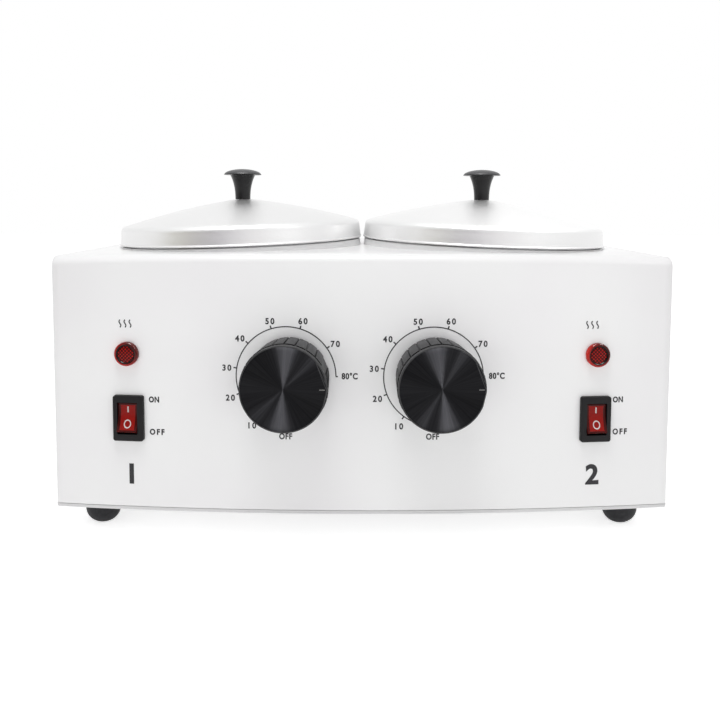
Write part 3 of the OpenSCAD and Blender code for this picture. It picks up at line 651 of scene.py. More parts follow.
# ABS: black moulding with a fine spark-eroded texture that greys in the light
abs_black = mottled(
    "moulded_abs_black", "#2C2C2E", 0.5, "#28282A", "#303032", 0.5, bump=(0.02, 0.35))
# a darker black for the groove's walls: painted shade, where the groove lies in shadow
groove_shade_black, _, _ = new_material(
    "polished_abs_black", "#0B0B0C", 0.35, Specular_IOR_Level=0.2)
for hand in ("left", "right"):
    place = joint_frame(f"dial_{hand}_turn", "out")
    edge = 0.35 * mm
    drum = (
        [(0, dial_len - dial_front), (shaft_r, dial_len - dial_front), (shaft_r, hub_back),
         (hub_r, hub_back), (hub_r, dial_len - dial_front),
         (core_r - dial_wall, dial_len - dial_front),
         (core_r - dial_wall, dial_gap), (core_r - edge, dial_gap), (core_r, dial_gap + edge),
         (core_r, dial_len - dial_ring), (dial_ring_r - 0.15 * mm, dial_len - dial_ring),
         (dial_ring_r, dial_len - dial_ring + 0.15 * mm)]
        + arc((dial_ring_r - edge, dial_len - edge), edge, 0, 90, 4)
        + [(face_r + 0.05 * mm, dial_len), (face_r + 0.05 * mm, dial_len - face_t),
           (0, dial_len - face_t)]
    )
    bm = spun(drum, Matrix.Identity(4), 96)
    # one grip block, then its copies round the drum
    gap_turn = grip_groove / dial_r
    block_turn = 2 * math.pi / grip_count - gap_turn
    low, high = dial_gap + 0.2 * mm, dial_len - dial_ring - ring_groove
    seed = bmesh.new()
    corners = [
        (core_r - 0.3 * mm, low), (dial_r - grip_flare / 2, low),
        (dial_r + grip_flare / 2, high), (core_r - 0.3 * mm, high)]
    start = Matrix.Rotation(gap_turn / 2, 4, "Z")
    ring = [seed.verts.new(start @ Vector((r, 0, z))) for r, z in corners]
    seed.faces.new(ring)
    bmesh.ops.spin(
        seed, geom=seed.faces[:] + seed.edges[:] + seed.verts[:], cent=(0, 0, 0),
        axis=(0, 0, 1), angle=block_turn, steps=4, use_merge=False)
    bmesh.ops.holes_fill(seed, edges=seed.edges[:], sides=8)
    bmesh.ops.remove_doubles(seed, verts=seed.verts, dist=1e-6)
    face_outwards(seed)
    seed.normal_update()
    rims = [e for e in seed.edges if len(e.link_faces) == 2 and e.calc_face_angle() > 0.8]
    bevel(seed, rims, 0.22 * mm, 2, clamp=True)
    seed_mesh = as_mesh("grip_block", seed)
    for i in range(grip_count):
        first = len(bm.verts)
        bm.from_mesh(seed_mesh)
        bm.verts.ensure_lookup_table()
        turn = Matrix.Rotation(2 * math.pi * i / grip_count, 4, "Z")
        bmesh.ops.transform(bm, matrix=turn, verts=bm.verts[first:])
    bpy.data.meshes.remove(seed_mesh)
    move(bm, place)
    back = place.inverted()
    dial = new_piece(f"dial_{hand}", bm, abs_black)
    dial.data.materials.append(groove_shade_black)
    # the walls of the groove between the blocks and the ring get the darker black: painted shade in the groove
    for facet in dial.data.polygons:
        middle = back @ facet.center
        radius = math.hypot(middle.x, middle.y)
        facing = (back.to_3x3() @ facet.normal).z
        beside = (
            radius > core_r - 0.1 * mm and high - 0.05 * mm < middle.z < dial_len - 2 * mm)
        floor = (
            middle.z > high + 0.05 * mm and facing > -0.6 and radius < core_r + 0.1 * mm)
        if beside and (facing > 0.6 or floor):
            facet.material_index = 1
    fit(dial, f"dial_{hand}", "black_plastic", f"dial_knob_{hand}")


# ---- Dial faces ---------------------------------------------------------
# Discs of black anodised aluminium, turned on a lathe: the fine circular cut
# throws a pair of bright fans up and down. A pale index line is cut in at
# the rim, where it points at the scale.
index_w = 0.5 * mm
index_len = 2.4 * mm
index_in = 0.4 * mm
dish = 0.15 * mm
face_edge = 0.15 * mm


def turned_black(name):
    """Black anodised aluminium, turned: highlights stretch across its circular grain."""
    material, tree, shader = new_material(
        name, "#232325", 0.52, 1.0, Anisotropic=1.0, Anisotropic_Rotation=0.25)
    tangent = add_node(tree, "Tangent", direction_type="UV_MAP", uv_map="grain")
    tree.links.new(tangent.outputs["Tangent"], shader.inputs["Tangent"])
    # the tool chattered a little, which breaks the fans into fine radial streaks
    grain = add_node(tree, "UVMap", uv_map="grain")
    spread = add_node(tree, "Mapping", {
        "Vector": grain.outputs["UV"], "Scale": (150, 0.7, 1)})
    streaks = add_node(tree, "TexNoise", {
        "Vector": spread.outputs["Vector"], "Scale": 1.0, "Detail": 2.0})
    tint(tree, shader, streaks.outputs["Fac"], "#1F1F21", "#29292B", 0.3, 0.7)
    return material


def add_grain_map(piece, place):
    """A UV map whose u runs round a frame's z axis and v out from it."""
    back = place.inverted()
    layer = piece.data.uv_layers.new(name="grain")
    for face in piece.data.polygons:
        centre = back @ face.center
        middle = math.atan2(centre.y, centre.x)
        for loop in face.loop_indices:
            at = back @ piece.data.vertices[piece.data.loops[loop].vertex_index].co
            radius = math.hypot(at.x, at.y)
            angle = math.atan2(at.y, at.x) if radius > 1e-6 else middle
            while angle - middle > math.pi:
                angle -= 2 * math.pi
            while angle - middle < -math.pi:
                angle += 2 * math.pi
            layer.data[loop].uv = (angle / (2 * math.pi), radius / face_r)


# paint filled into the cut line and wiped flush: a matt warm grey
fill_grey = mottled("index_fill_grey", "#6A6A68", 0.6, "#5C5C5A", "#747472", 0.4)
turned_faces = []
for hand in ("left", "right"):
    place = joint_frame(f"dial_{hand}_turn", "out")
    radii = [0.0] + [face_r * i / 10 for i in range(1, 10)]
    profile = (
        [(r, dial_len - dish * (1 - (r / face_r) ** 2)) for r in radii]
        + arc((face_r - face_edge, dial_len - face_edge), face_edge, 90, 0, 3)
        + [(face_r, dial_len - face_t), (0, dial_len - face_t)]
    )
    face = new_piece(
        f"turned_face_{hand}", spun(profile, place, 120), turned_black(f"turned_black_{hand}"))
    add_grain_map(face, place)
    turned_faces.append(face)
    fit(face, f"dial_{hand}", "dial_black", f"dial_face_{hand}")
    line = block(
        (index_len, index_w, 0.06 * mm),
        (face_r - index_len / 2 - index_in, 0, dial_len - 0.032 * mm), place)
    bevel(line, line.edges[:], 0.02 * mm, 1)
    index = new_piece(f"index_line_{hand}", line, fill_grey)
    fit(index, f"dial_{hand}", "lid_aluminium")


# ---- Switch frames ------------------------------------------------------
# Nylon snap-in frames with rounded corners; the bezel stands 2.2 mm out of
# the panel and its window opens down to the rocker's pins.
bezel_w, bezel_h, bezel_out = 14.4 * mm, 21.4 * mm, 2.2 * mm
bezel_shift = 0.3 * mm
case_w, case_h, case_d = 12.8 * mm, 19 * mm, 14 * mm
rocker_w, rocker_r = 9 * mm, 7.2 * mm
window_w, window_h, window_d = 9.6 * mm, 15 * mm, 6.4 * mm
bezel_gap = 0.05 * mm


def nylon():
    """Glass-filled nylon: deep black with a dull, slightly mottled skin."""
    material, tree, shader = new_material(
        "nylon_black", "#111012", 0.45, Specular_IOR_Level=0.24)
    mottle = noise(tree, 0.6, 3.0)
    add_bump(tree, shader, mottle, 0.015, 0.3)
    rough_range(tree, shader, mottle, 0.42, 0.6)
    return material


def rounded_block(size, centre, place, upright_r, edge_r):
    """A box with rounded upright edges (along z) and a softened front rim."""
    bm = block(size, centre, Matrix.Identity(4))
    upright = [e for e in bm.edges if abs((e.verts[0].co - e.verts[1].co).z) > size[2] * 0.9]
    bevel(bm, upright, upright_r, 5)
    top = max(v.co.z for v in bm.verts)
    front = [e for e in bm.edges if all(abs(v.co.z - top) < 1e-7 for v in e.verts)]
    bevel(bm, front, edge_r, 4)
    move(bm, place)
    return bm


nylon_black = nylon()
for side, hand in ((-1, "left"), (1, "right")):
    place = panel_frame(side * switch_x, switch_up)
    bezel = new_piece(f"switch_bezel_{hand}", rounded_block(
        (bezel_w, bezel_h, bezel_out - bezel_gap),
        (-side * bezel_shift, 0, (bezel_out + bezel_gap) / 2),
        place, 1.1 * mm, 0.45 * mm), nylon_black)
    cut(bezel, [block((window_w, window_h, 4 * bezel_out), (0, 0, 0), place)])
    fit(bezel, "housing", "black_plastic", f"switch_frame_{hand}")
    case = new_piece(f"switch_case_{hand}", block(
        (case_w, case_h, case_d), (0, 0, -case_d / 2), place), nylon_black)
    cut(case, [block((window_w, window_h, 2 * window_d), (0, 0, 0), place)])
    fit(case, "housing", "black_plastic")


# ---- Rockers ------------------------------------------------------------
# Translucent red polycarbonate rockers with a framed, dished face, painted
# brighter than its frame as a painted glow from a lamp behind. White I and O are printed.
rocker_throw = math.radians(20)
key_w = 9.4 * mm
rocker_end, rocker_dip, rocker_back = 3 * mm, 1.9 * mm, 3.2 * mm
face_border, face_sink = 1.25 * mm, 0.22 * mm
pin_r, pin_len = 1.2 * mm, 1 * mm
mark_lift = 0.04 * mm
bar_w, bar_h, bar_at = 0.62 * mm, 2.7 * mm, 3.75 * mm
ring_in, ring_out, ring_at = 1.48 * mm, 2.0 * mm, -2.95 * mm
ring_narrow = 0.86


def red_moulding(name, hex_code, roughness):
    """Polycarbonate, red and translucent: a deep colour under a clear gloss."""
    material, tree, shader = new_material(
        name, hex_code, roughness, Specular_IOR_Level=0.12, Coat_Weight=0.05, Coat_Roughness=0.08,
        Subsurface_Weight=0.25, Subsurface_Scale=1.2 * mm)
    shader.inputs["Subsurface Radius"].default_value = (1.0, 0.15, 0.1)
    cloud = noise(tree, 2.5)
    rough_range(tree, shader, cloud, roughness - 0.05, roughness + 0.08)
    return material, tree, shader


# the face is painted a brighter red than the frame: a painted glow, with no lamp behind it
face_red_painted_glow, _, _ = red_moulding("polycarbonate_red_face", "#9E1610", 0.32)
frame_red, _, _ = red_moulding("polycarbonate_red_frame", "#4A0A08", 0.22)


# pad-printed white ink, a little uneven
ink_white = mottled("pad_print_white", "#E6DEDC", 0.5, "#DAD0CE", "#EFE9E8", 0.5)
end_a = math.degrees(math.asin(rocker_end / rocker_r))
back_a = math.degrees(math.asin(rocker_back / rocker_r))
rise = rocker_r * math.cos(math.radians(end_a))


def face_depth(h):
    """Depth of the dished face at a height along the rocker."""
    return rocker_dip + (rocker_end - rocker_dip) * (h / rise) ** 2 - face_sink


def thicken(bm, step):
    """Extrudes flat work into a closed form, its new side a step away."""
    grown = bmesh.ops.extrude_face_region(bm, geom=bm.faces[:])["geom"]
    raised = [g for g in grown if isinstance(g, bmesh.types.BMVert)]
    bmesh.ops.translate(bm, verts=raised, vec=step)


for hand in ("left", "right"):
    pivot = joint_frame(f"rocker_{hand}_press", "pin")
    place = pivot @ Matrix.Rotation(-rocker_throw / 2, 4, "X")
    # side view: first number is height along the rocker, second is depth out of it
    ends = arc((0, 0), rocker_r, 90 - end_a, 90 + back_a, 8)
    upper = [(y, x) for x, y in ends]
    across = [-1 + i / 6 for i in range(1, 12)]
    hollow = [(rise * v, rocker_dip + (rocker_end - rocker_dip) * v * v) for v in across]
    lower = [(-y, x) for x, y in reversed(ends)]
    bm = bmesh.new()
    bm.faces.new([bm.verts.new((-key_w / 2, h, d)) for h, d in lower + hollow + upper])
    thicken(bm, (key_w, 0, 0))
    face_outwards(bm)
    bm.normal_update()
    front = [f for f in bm.faces if f.normal.z > 0.75 and abs(f.normal.x) < 0.1]
    bmesh.ops.inset_region(
        bm, faces=front, thickness=face_border, depth=-face_sink, use_boundary=True)
    for f in front:
        f.material_index = 1
    sharp = [e for e in bm.edges if len(e.link_faces) == 2 and e.calc_face_angle() > 0.9]
    bevel(bm, sharp, 0.18 * mm, 2, clamp=True)
    move(bm, place)
    for end in (-1, 1):
        pin_place = (
            place @ Matrix.Translation((end * rocker_w / 2, 0, 0))
            @ Matrix.Rotation(end * math.pi / 2, 4, "Y"))
        pin_mesh = as_mesh("pin", rod(pin_r, 0, pin_len, pin_place, 24))
        bm.from_mesh(pin_mesh)
        bpy.data.meshes.remove(pin_mesh)
    key = new_piece(f"rocker_key_{hand}", bm, frame_red)
    key.data.materials.append(face_red_painted_glow)
    fit(key, f"switch_rocker_{hand}", "red_rocker", f"rocker_{hand}")

    # the marks lie on the dished face, so each point goes to the depth that it has there
    bar = bmesh.new()
    bmesh.ops.create_grid(bar, x_segments=1, y_segments=8, size=0.5)
    move(bar, Matrix.Diagonal((bar_w, bar_h, 1, 1)))
    circle = bmesh.new()
    bmesh.ops.create_circle(circle, segments=48, radius=ring_in)
    grown = bmesh.ops.extrude_edge_only(circle, edges=circle.edges[:])["geom"]
    outer = [g for g in grown if isinstance(g, bmesh.types.BMVert)]
    bmesh.ops.scale(circle, vec=(ring_out / ring_in, ring_out / ring_in, 1), verts=outer)
    bmesh.ops.scale(circle, vec=(ring_narrow, 1, 1), verts=circle.verts)
    for name, flat, middle in (
            ("print_on_mark", bar, bar_at), ("print_off_mark", circle, ring_at)):
        thicken(flat, (0, 0, mark_lift))
        for vert in flat.verts:
            vert.co.y += middle
            vert.co.z += face_depth(vert.co.y)
        face_outwards(flat)
        move(flat, place)
        mark = new_piece(f"{name}_{hand}", flat, ink_white)
        fit(mark, f"switch_rocker_{hand}", "white_enamel")


# ---- Pilot lamps --------------------------------------------------------
# Red polycarbonate lenses pushed in from the front: a smooth rolled ring, a
# groove painted dark as shade, and a centre disc moulded with a fine diamond pattern.
lamp_r = 5.6 * mm
lamp_out = 2.6 * mm
lamp_stem_r = 4.4 * mm
disc_r = 3.9 * mm
lens_back = -3 * mm
lens_seat = 0.08 * mm
groove_up = lamp_out - 1.1 * mm
disc_edge = 0.25 * mm
# ridges a little coarser than real, so that they show
ridge_gap = 1.15 * mm


def diamond_lens(place):
    """The lens disc: two sets of moulded ridges cross at right angles; the crossings are painted bright as
    highlights and the rest dark as shade.
    """
    material, tree, shader = red_moulding("polycarbonate_red_lens", "#8E120D", 0.3)
    ridges = []
    for turn in (45, -45):
        mapping = add_node(tree, "Mapping", {
            "Vector": local_coords(tree, place), "Rotation": (0, 0, math.radians(turn))})
        ridges.append(add_node(tree, "TexWave", {
            "Vector": mapping.outputs["Vector"], "Scale": math.pi / (10 * ridge_gap)},
            wave_type="BANDS", bands_direction="X"))
    crossed = add_node(tree, "Math", {
        0: ridges[0].outputs["Fac"], 1: ridges[1].outputs["Fac"]}, operation="MULTIPLY")
    add_bump(tree, shader, crossed.outputs["Value"], 0.1, 0.6)
    # painted highlight and shade: bright red where the ridges' crests cross, dark red elsewhere
    tint(tree, shader, crossed.outputs["Value"], "#2E0403", "#D01810", 0.02, 0.75)
    return material


def rim_painted_glow(place):
    """The lens rim, with painted light: its colour grows bright towards the outer edge and the lower left, where
    light from the upper right would leave.
    """
    material, tree, shader = red_moulding("polycarbonate_red_rim", "#3C0705", 0.12)
    shader.inputs["Specular IOR Level"].default_value = 0.2
    flat = add_node(tree, "VectorMath", {
        0: local_coords(tree, place), 1: (1, 1, 0)}, operation="MULTIPLY")
    radius = add_node(tree, "VectorMath", {0: flat.outputs["Vector"]}, operation="LENGTH")
    towards = add_node(tree, "VectorMath", {
        0: flat.outputs["Vector"], 1: (-1, -0.8, 0)}, operation="DOT_PRODUCT")
    outer = add_node(tree, "MapRange", {
        "Value": radius.outputs["Value"], "From Min": lamp_r - 1.2 * mm,
        "From Max": lamp_r - 0.1 * mm, "To Min": 0.45})
    glow = add_node(tree, "MapRange", {
        "Value": towards.outputs["Value"], "From Min": -5 * mm, "From Max": 5 * mm,
        "To Min": 0.2, "To Max": 1.0})
    share = add_node(tree, "Math", {
        0: glow.outputs["Result"], 1: outer.outputs["Result"]}, operation="MULTIPLY")
    # painted glow: dark red, running to bright red at the outer edge on the lower left
    tint(tree, shader, share.outputs["Value"], "#260504", "#CC2A22", 0.05, 0.9)
    return material


# the groove gets a near-black red: painted shade in the recess
lens_groove_shade_red, _, _ = red_moulding("polycarbonate_red_groove", "#1C0302", 0.3)
lenses = []
for side, hand in ((-1, "left"), (1, "right")):
    place = panel_frame(side * lamp_x, lamp_up)
    edge = 0.9 * mm
    rim = (
        [(0, lens_back), (lamp_stem_r, lens_back), (lamp_stem_r, lens_seat),
         (lamp_r - 0.2 * mm, lens_seat), (lamp_r, 0.3 * mm), (lamp_r, lamp_out - 1.5 * mm)]
        + arc((lamp_r - edge, lamp_out - edge), edge, 20, 150, 8)
    )
    groove = [(disc_r + 0.35 * mm, groove_up), (disc_r + 0.1 * mm, groove_up)]
    disc = arc((disc_r - disc_edge, lamp_out - 0.75 * mm), disc_edge, 0, 90, 3) + [
        (disc_r * u, lamp_out - 0.5 * mm + 0.35 * mm * (1 - u * u))
        for u in (0.85, 0.7, 0.5, 0.3, 0.15, 0)]
    bm = spun(rim + groove + disc, Matrix.Identity(4), 64)
    for f in bm.faces:
        middle = f.calc_center_median()
        radius = math.hypot(middle.x, middle.y)
        if middle.z > lamp_out - 1.2 * mm and radius < disc_r + 0.02 * mm:
            f.material_index = 1
        elif lamp_out - 1.5 * mm < middle.z < lamp_out and radius < disc_r + 0.6 * mm:
            f.material_index = 2
    move(bm, place)
    lens = new_piece(f"lens_{hand}", bm, rim_painted_glow(place))
    lens.data.materials.append(diamond_lens(place))
    lens.data.materials.append(lens_groove_shade_red)
    lenses.append(lens)
    fit(lens, "housing", "red_lens", f"lamp_lens_{hand}")


# ---- Feet ---------------------------------------------------------------
# Round-bottomed rubber bumpers that lean a little outwards, moulded round a
# stud and cut flat where they meet the base plate and the table.
foot_h = 13.5 * mm
foot_r = 8.4 * mm
foot_round = 7 * mm
foot_under = 1 * mm
foot_lean = math.radians(17)
foot_x = half_w - 19 * mm
foot_inset = 18 * mm
stud_sink = 4 * mm

# moulded rubber: nearly black, matt, with a faint bloom
rubber = mottled(
    "moulded_rubber", "#242427", 0.62, "#1F1F22", "#2C2C2F", 2.2, 4.0,
    bump=(0.03, 0.25), Specular_IOR_Level=0.35)
for side, hand in ((-1, "left"), (1, "right")):
    for end, foot_y in (("front", corner_y + foot_inset), ("rear", rear_y - foot_inset)):
        bottom = -foot_h - foot_under
        profile = (
            [(0, bottom)]
            + arc((foot_r - foot_round, bottom + foot_round), foot_round, 270, 360, 16)
            + [(foot_r, stud_sink), (0, stud_sink)]
        )
        place = (
            Matrix.Translation((side * foot_x, foot_y, foot_h))
            @ Matrix.Rotation(-side * foot_lean, 4, "Y"))
        bm = spun(profile, place, 64)
        for height, clear_up in ((0.0, False), (foot_h, True)):
            bmesh.ops.bisect_plane(
                bm, geom=bm.verts[:] + bm.edges[:] + bm.faces[:], plane_co=(0, 0, height),
                plane_no=(0, 0, 1), clear_outer=clear_up, clear_inner=not clear_up)
            bmesh.ops.holes_fill(bm, edges=[e for e in bm.edges if e.is_boundary], sides=0)
        face_outwards(bm)
        foot = new_piece(f"rubber_foot_{end}_{hand}", bm, rubber)
        fit(foot, "housing", "black_rubber", f"foot_{end}_{hand}")


# ---- Panel print --------------------------------------------------------
# One-colour screen print in a soft black: the two temperature scales, ON and
# OFF beside the switches, heat waves over the lamps and a number per pot.
print_lift = 0.05 * mm
scale_r = 23.0 * mm
scale_line = 0.5 * mm
# each mark's angle, then the place of its number from the scale's centre in mm
scale_marks = [
    ("80°C", 0, 29.3, 0.2), ("70", 35, 22.7, 15.2), ("60", 73.5, 7.9, 25.6),
    ("50", 107, -7.3, 25.5), ("40", 139, -21.2, 17.4), ("30", 171, -27.3, 3.7),
    ("20", 201, -25.8, -10.3), ("10", 234, -15.7, -23.2), ("OFF", 270, -0.2, -28.1)]
scale_shift = {"left": -1.8 * mm, "right": -0.7 * mm}
scale_end = 262
scale_drop = 0.2 * mm
tick_w, tick_len, zero_tick_len = 0.6 * mm, 1.5 * mm, 0.9 * mm
number_h = 2.65 * mm
# each word's place from the switch's middle and its height up, its capitals' height, all
# in mm, then its width and letter spacing
switch_words = (("ON", 11.45, 66.5, 2.5, 0.82, 1.14), ("OFF", 12.75, 51.2, 2.55, 0.86, 1.42))
switch_print_x = 108.35 * mm
# the three waves, in mm
wave_x, wave_left, wave_up = 108.4, 1.7, 101.9
wave_shifts = (-2.4, 0, 2.4)
wave_h, wave_sway, wave_w = 3.6 * mm, 0.42 * mm, 0.52 * mm
pot_number_x, pot_number_up, pot_number_h = 108.1 * mm, 31 * mm, 8.9 * mm

# screen-printed ink: a soft black with a thin, dry edge
ink = mottled("screen_ink_black", "#161419", 0.55, "#121015", "#1C1A20", 0.5)


def add_print(name, bm, thickness=0.03 * mm):
    """Lays flat artwork onto the bowed panel and gives it a film's thickness."""
    for vert in bm.verts:
        x, z = vert.co.x, vert.co.y
        vert.co = Vector((x, front_y(x) - print_lift, z))
    thicken(bm, (0, -thickness, 0))
    face_outwards(bm)
    fit(new_piece(name, bm, ink, 60), "housing", "black_plastic")


def stroke(bm, points, width):
    """A flat line of even width through points, as quads."""
    pairs = []
    for i, point in enumerate(points):
        before, after = points[max(i - 1, 0)], points[min(i + 1, len(points) - 1)]
        along = Vector((after[0] - before[0], after[1] - before[1])).normalized()
        across = Vector((-along.y, along.x)) * width / 2
        pairs.append([
            bm.verts.new((point[0] + s * across.x, point[1] + s * across.y, 0))
            for s in (1, -1)])
    for (a, b), (c, d) in zip(pairs, pairs[1:]):
        bm.faces.new((a, b, d, c))


def embolden(bm, amount):
    """Moves the outline of flat artwork outwards."""
    bmesh.ops.remove_doubles(bm, verts=bm.verts, dist=1e-4)
    bmesh.ops.dissolve_degenerate(bm, edges=bm.edges, dist=1e-4)
    bm.normal_update()
    outwards = {}
    for edge in bm.edges:
        if len(edge.link_loops) == 1:
            loop = edge.link_loops[0]
            along = (loop.link_loop_next.vert.co - loop.vert.co).normalized()
            facing = math.copysign(1, loop.face.normal.z)
            for vert in edge.verts:
                outwards.setdefault(vert, []).append(Vector((along.y, -along.x, 0)) * facing)
    for vert, sides in outwards.items():
        mean = sum(sides, Vector())
        if mean.length > 0.2:
            mean.normalize()
            vert.co += mean * amount / max(mean.dot(sides[0]), 0.6)


def lettering(bm, text, centre, height, narrow=0.86, spacing=1.0, weight=0.0):
    """Sets a word as flat mesh, its capitals height tall and its middle at centre."""
    curve = bpy.data.curves.new("lettering", "FONT")
    curve.body = text
    curve.size = 1
    curve.space_character = spacing
    curve.resolution_u = 6
    holder = add_object("lettering", curve)
    graph = bpy.context.evaluated_depsgraph_get()
    mesh = bpy.data.meshes.new_from_object(holder.evaluated_get(graph))
    bpy.data.objects.remove(holder)
    # the font's capitals are this tall at size 1
    capital = 0.69
    xs = [v.co.x for v in mesh.vertices]
    middle = (max(xs) + min(xs)) / 2
    scale = height / capital
    mesh.transform(
        Matrix.Diagonal((narrow, 1, 1, 1)) @ Matrix.Translation((-middle, -capital / 2, 0)))
    word = bmesh.new()
    word.from_mesh(mesh)
    embolden(word, weight)
    move(word, Matrix.Translation((*centre, 0)) @ Matrix.Diagonal((scale, scale, 1, 1)))
    word.to_mesh(mesh)
    word.free()
    bm.from_mesh(mesh)
    bpy.data.meshes.remove(mesh)


for side, hand in ((-1, "left"), (1, "right")):
    joint = joints[f"dial_{hand}_turn"]["pos_m"]
    centre = (joint[0] + scale_shift[hand], joint[2] - scale_drop)
    art = bmesh.new()
    stroke(art, arc(centre, scale_r, 0, scale_end, 90), scale_line)
    for word, angle, number_x, number_y in scale_marks:
        a = math.radians(angle)
        way = Vector((math.cos(a), math.sin(a)))
        at = Vector(centre)
        if angle < scale_end:
            reach = scale_r + (zero_tick_len if angle == 0 else tick_len)
            stroke(art, [at + way * scale_r, at + way * reach], tick_w)
        spot = at + Vector((number_x, number_y)) * mm
        narrow, spacing = (0.93, 1.38) if len(word) == 2 else (0.84, 1.12)
        lettering(art, word, spot, number_h, narrow, spacing, 0.032)
    add_print(f"print_scale_{hand}", art)

    art = bmesh.new()
    for word, x, up, height, narrow, spacing in switch_words:
        spot = (side * switch_print_x + x * mm, up * mm)
        lettering(art, word, spot, height * mm, narrow, spacing, 0.04)
    add_print(f"print_switch_{hand}", art)

    art = bmesh.new()
    for shift in wave_shifts:
        wave = []
        for i in range(17):
            climb = wave_h * (i / 16 - 0.5)
            sway = wave_sway * math.sin(2 * math.pi * i / 16)
            wave.append(((side * wave_x - wave_left + shift) * mm + sway, wave_up * mm + climb))
        stroke(art, wave, wave_w)
    add_print(f"print_heat_waves_{hand}", art)

    art = bmesh.new()
    spot = (side * pot_number_x, pot_number_up)
    lettering(art, "1" if side < 0 else "2", spot, pot_number_h, 1.0, 1.0, 0.035)
    add_print(f"print_pot_number_{hand}", art)


# ---- Parts that keep their CAD shape ------------------------------------
# The rear panel and base plate are coated like the cover; the screws, nuts,
# studs and clips are zinc-plated steel, and the rest is hidden inside.
def cloudy_metal(name, hex_code, roughness, low, high, size_mm):
    """Bare metal whose gloss drifts a little."""
    material, tree, shader = new_material(name, hex_code, roughness, 1.0)
    rough_range(tree, shader, noise(tree, size_mm), low, high)
    return material


# glass wool: a pale yellow felt of tangled fibres
wool = mottled(
    "glass_wool_felt", "#D5CBA6", 0.95, "#BFB48C", "#E3DBBD", 1.2, 6.0, bump=(0.6, 0.8))
# zinc plate: cool grey with faint cloudy patches
zinc = cloudy_metal("zinc_plated_steel", "#B9BABD", 0.32, 0.26, 0.42, 3)
# stamped brass: warm yellow metal with fine rolling marks
brass = cloudy_metal("stamped_brass", "#C9A55A", 0.3, 0.22, 0.4, 2)
# steel band: straw-coloured where it has been hot
hot_steel = mottled(
    "heat_tinted_steel", "#8F8674", 0.38, "#7D7266", "#9C9079", 12, 2.0, 1.0)
# polyamide terminal block: ivory, slightly waxy
ivory = mottled("polyamide_ivory", "#DDD8C4", 0.48, "#D8D2BC", "#E2DDCB", 4, 2.0)

finishes = {
    "white_enamel": enamel, "steel": zinc, "band_steel": hot_steel,
    "glass_wool": wool, "ivory_plastic": ivory, "brass": brass,
    "black_plastic": nylon_black, "thermostat_case": nylon_black, "black_rubber": rubber}
for row in frame["record"]["subparts"]:
    node = frame["nodes"][row["node"]]
    finish = finishes.get(row["material_slot"])
    if finish is not None:
        node.data.materials.clear()
        node.data.materials.append(finish)


# ---- Studio -------------------------------------------------------------
# A white floor that runs out past the frame, a softbox high in front and a
# weak one on the right. The other lamps and a card each serve a few pieces.
floor_size = 6.0
bm = bmesh.new()
bmesh.ops.create_grid(bm, x_segments=1, y_segments=1, size=floor_size / 2)
floor_mesh = as_mesh("studio_floor", bm)
floor = add_object("studio_floor", floor_mesh)



def show_when_seen(tree, lights, shows, output):
    """Sends on one shader for light on the object, the other where a camera or gloss sees it."""
    rays = add_node(tree, "LightPath")
    seen = add_node(tree, "Math", {
        0: rays.outputs["Is Camera Ray"], 1: rays.outputs["Is Glossy Ray"]},
        operation="MAXIMUM")
    choice = add_node(tree, "MixShader", {0: seen.outputs["Value"], 1: lights, 2: shows})
    tree.links.new(choice.outputs["Shader"], output.inputs["Surface"])


paper, tree, shader = new_material("studio_paper", "#F2F2F2", 0.9)
glow = add_node(tree, "Emission", {"Color": linear("#FFFFFF"), "Strength": 0.7})
lifted = add_node(tree, "AddShader", {
    0: shader.outputs["BSDF"], 1: glow.outputs["Emission"]})
show_when_seen(
    tree, shader.outputs["BSDF"], lifted.outputs["Shader"], tree.nodes["Material Output"])
floor_mesh.materials.append(paper)

world = bpy.data.worlds.new("studio_world")
bpy.context.scene.world = world
world.use_nodes = True
tree = world.node_tree
plain = tree.nodes["Background"]
plain.inputs["Color"].default_value = linear("#FFFFFF")
plain.inputs["Strength"].default_value = 0.49
white = add_node(tree, "Background", {"Color": linear("#FFFFFF"), "Strength": 1.0})
show_when_seen(
    tree, plain.outputs["Background"], white.outputs["Background"], tree.nodes["World Output"])


def softbox(name, place, aim, size, watts):
    """A square-cornered soft lamp, turned towards a point."""
    light = bpy.data.lights.new(name, "AREA")
    light.shape = "RECTANGLE"
    light.size, light.size_y = size
    light.energy = watts
    lamp = add_object(name, light)
    lamp.location = place
    lamp.rotation_euler = (Vector(aim) - Vector(place)).to_track_quat("-Z", "Y").to_euler()
    return lamp


middle = (0, 0, 0.09)
softbox("softbox_top", (-0.08, -0.27, 1.15), middle, (0.45, 0.4), 5.7)
softbox("softbox_right", (0.75, -0.62, 0.75), middle, (0.3, 0.3), 0.4)


def only_on(lamp, name, pieces):
    """Lets a lamp light nothing but these pieces."""
    lit = bpy.data.collections.new(name)
    for piece in pieces:
        lit.objects.link(piece)
    lamp.light_linking.receiver_collection = lit


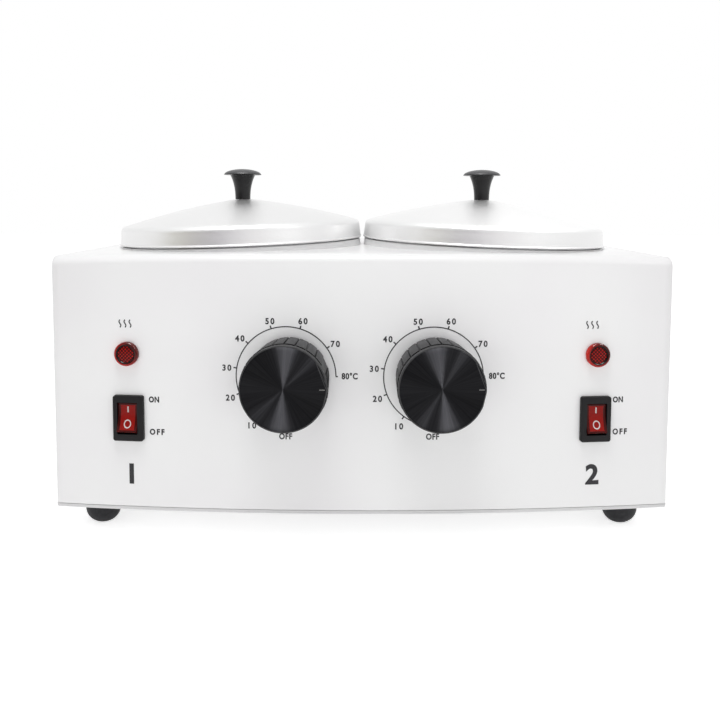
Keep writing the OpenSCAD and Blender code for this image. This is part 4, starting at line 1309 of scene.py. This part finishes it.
# weak fills: in front for the panel, behind for the deck and over the right lid
fill = softbox("softbox_front", (0.0, -0.80, 0.10), middle, (1.2, 0.2), 1.3)
only_on(fill, "front_fill", [cover])
back_fill = softbox("softbox_rear", (0.0, 0.5, 0.6), middle, (0.6, 0.3), 0.15)
only_on(back_fill, "deck_fill", [cover])
side_fill = softbox("softbox_lid", (0.35, -0.05, 0.75), (0.067, 0, 0.15), (0.4, 0.4), 2.2)
only_on(side_fill, "lid_fill", [lids["right"]])

# two strips that only the turned faces catch, one overhead and one on the right
for name, place, size, watts in (
        ("strip_overhead", (-0.05, -0.35, 1.12), (0.6, 0.2), 90),
        ("strip_right", (0.75, -0.62, 0.75), (0.06, 0.2), 9)):
    strip = softbox(name, place, middle, size, watts)
    strip.visible_diffuse = False
    only_on(strip, name + "_faces", turned_faces)

# two panels that only the lenses mirror, as highlights on top of their rims
for name, x in (("panel_left", 0.0), ("panel_right", 0.75)):
    panel = softbox(name, (x, -0.25, 0.9), middle, (0.3, 0.3), 14)
    panel.visible_diffuse = False
    only_on(panel, name + "_lenses", lenses)

# a low dark card far in front, warm on the left and cool on the right, that
# only the polished and sanded metal shows
card_mesh = as_mesh(
    "studio_card", block((3.25, 0.01, 0.75), (-0.975, -1.15, 0.2), Matrix.Identity(4)))
card = add_object("studio_card", card_mesh)
card.visible_camera = False
card.visible_diffuse = False
card.visible_shadow = False
cloth = bpy.data.materials.new("studio_card_cloth")
cloth.use_nodes = True
tree = cloth.node_tree
coords = add_node(tree, "TexCoord")
split = add_node(tree, "SeparateXYZ", {0: coords.outputs["Object"]})
side = add_node(tree, "MapRange", {
    "Value": split.outputs["X"], "From Min": -1.4, "From Max": 0.2})
shade = add_node(tree, "ValToRGB", {"Fac": side.outputs["Result"]})
shade.color_ramp.elements[0].color = linear("#938D68")
shade.color_ramp.elements[1].color = linear("#F2EFF0")
shade.color_ramp.elements.new(0.6).color = linear("#6A5F72")
glow = add_node(tree, "Emission", {"Color": shade.outputs["Color"]})
tree.links.new(glow.outputs["Emission"], tree.nodes["Material Output"].inputs["Surface"])
card_mesh.materials.append(cloth)
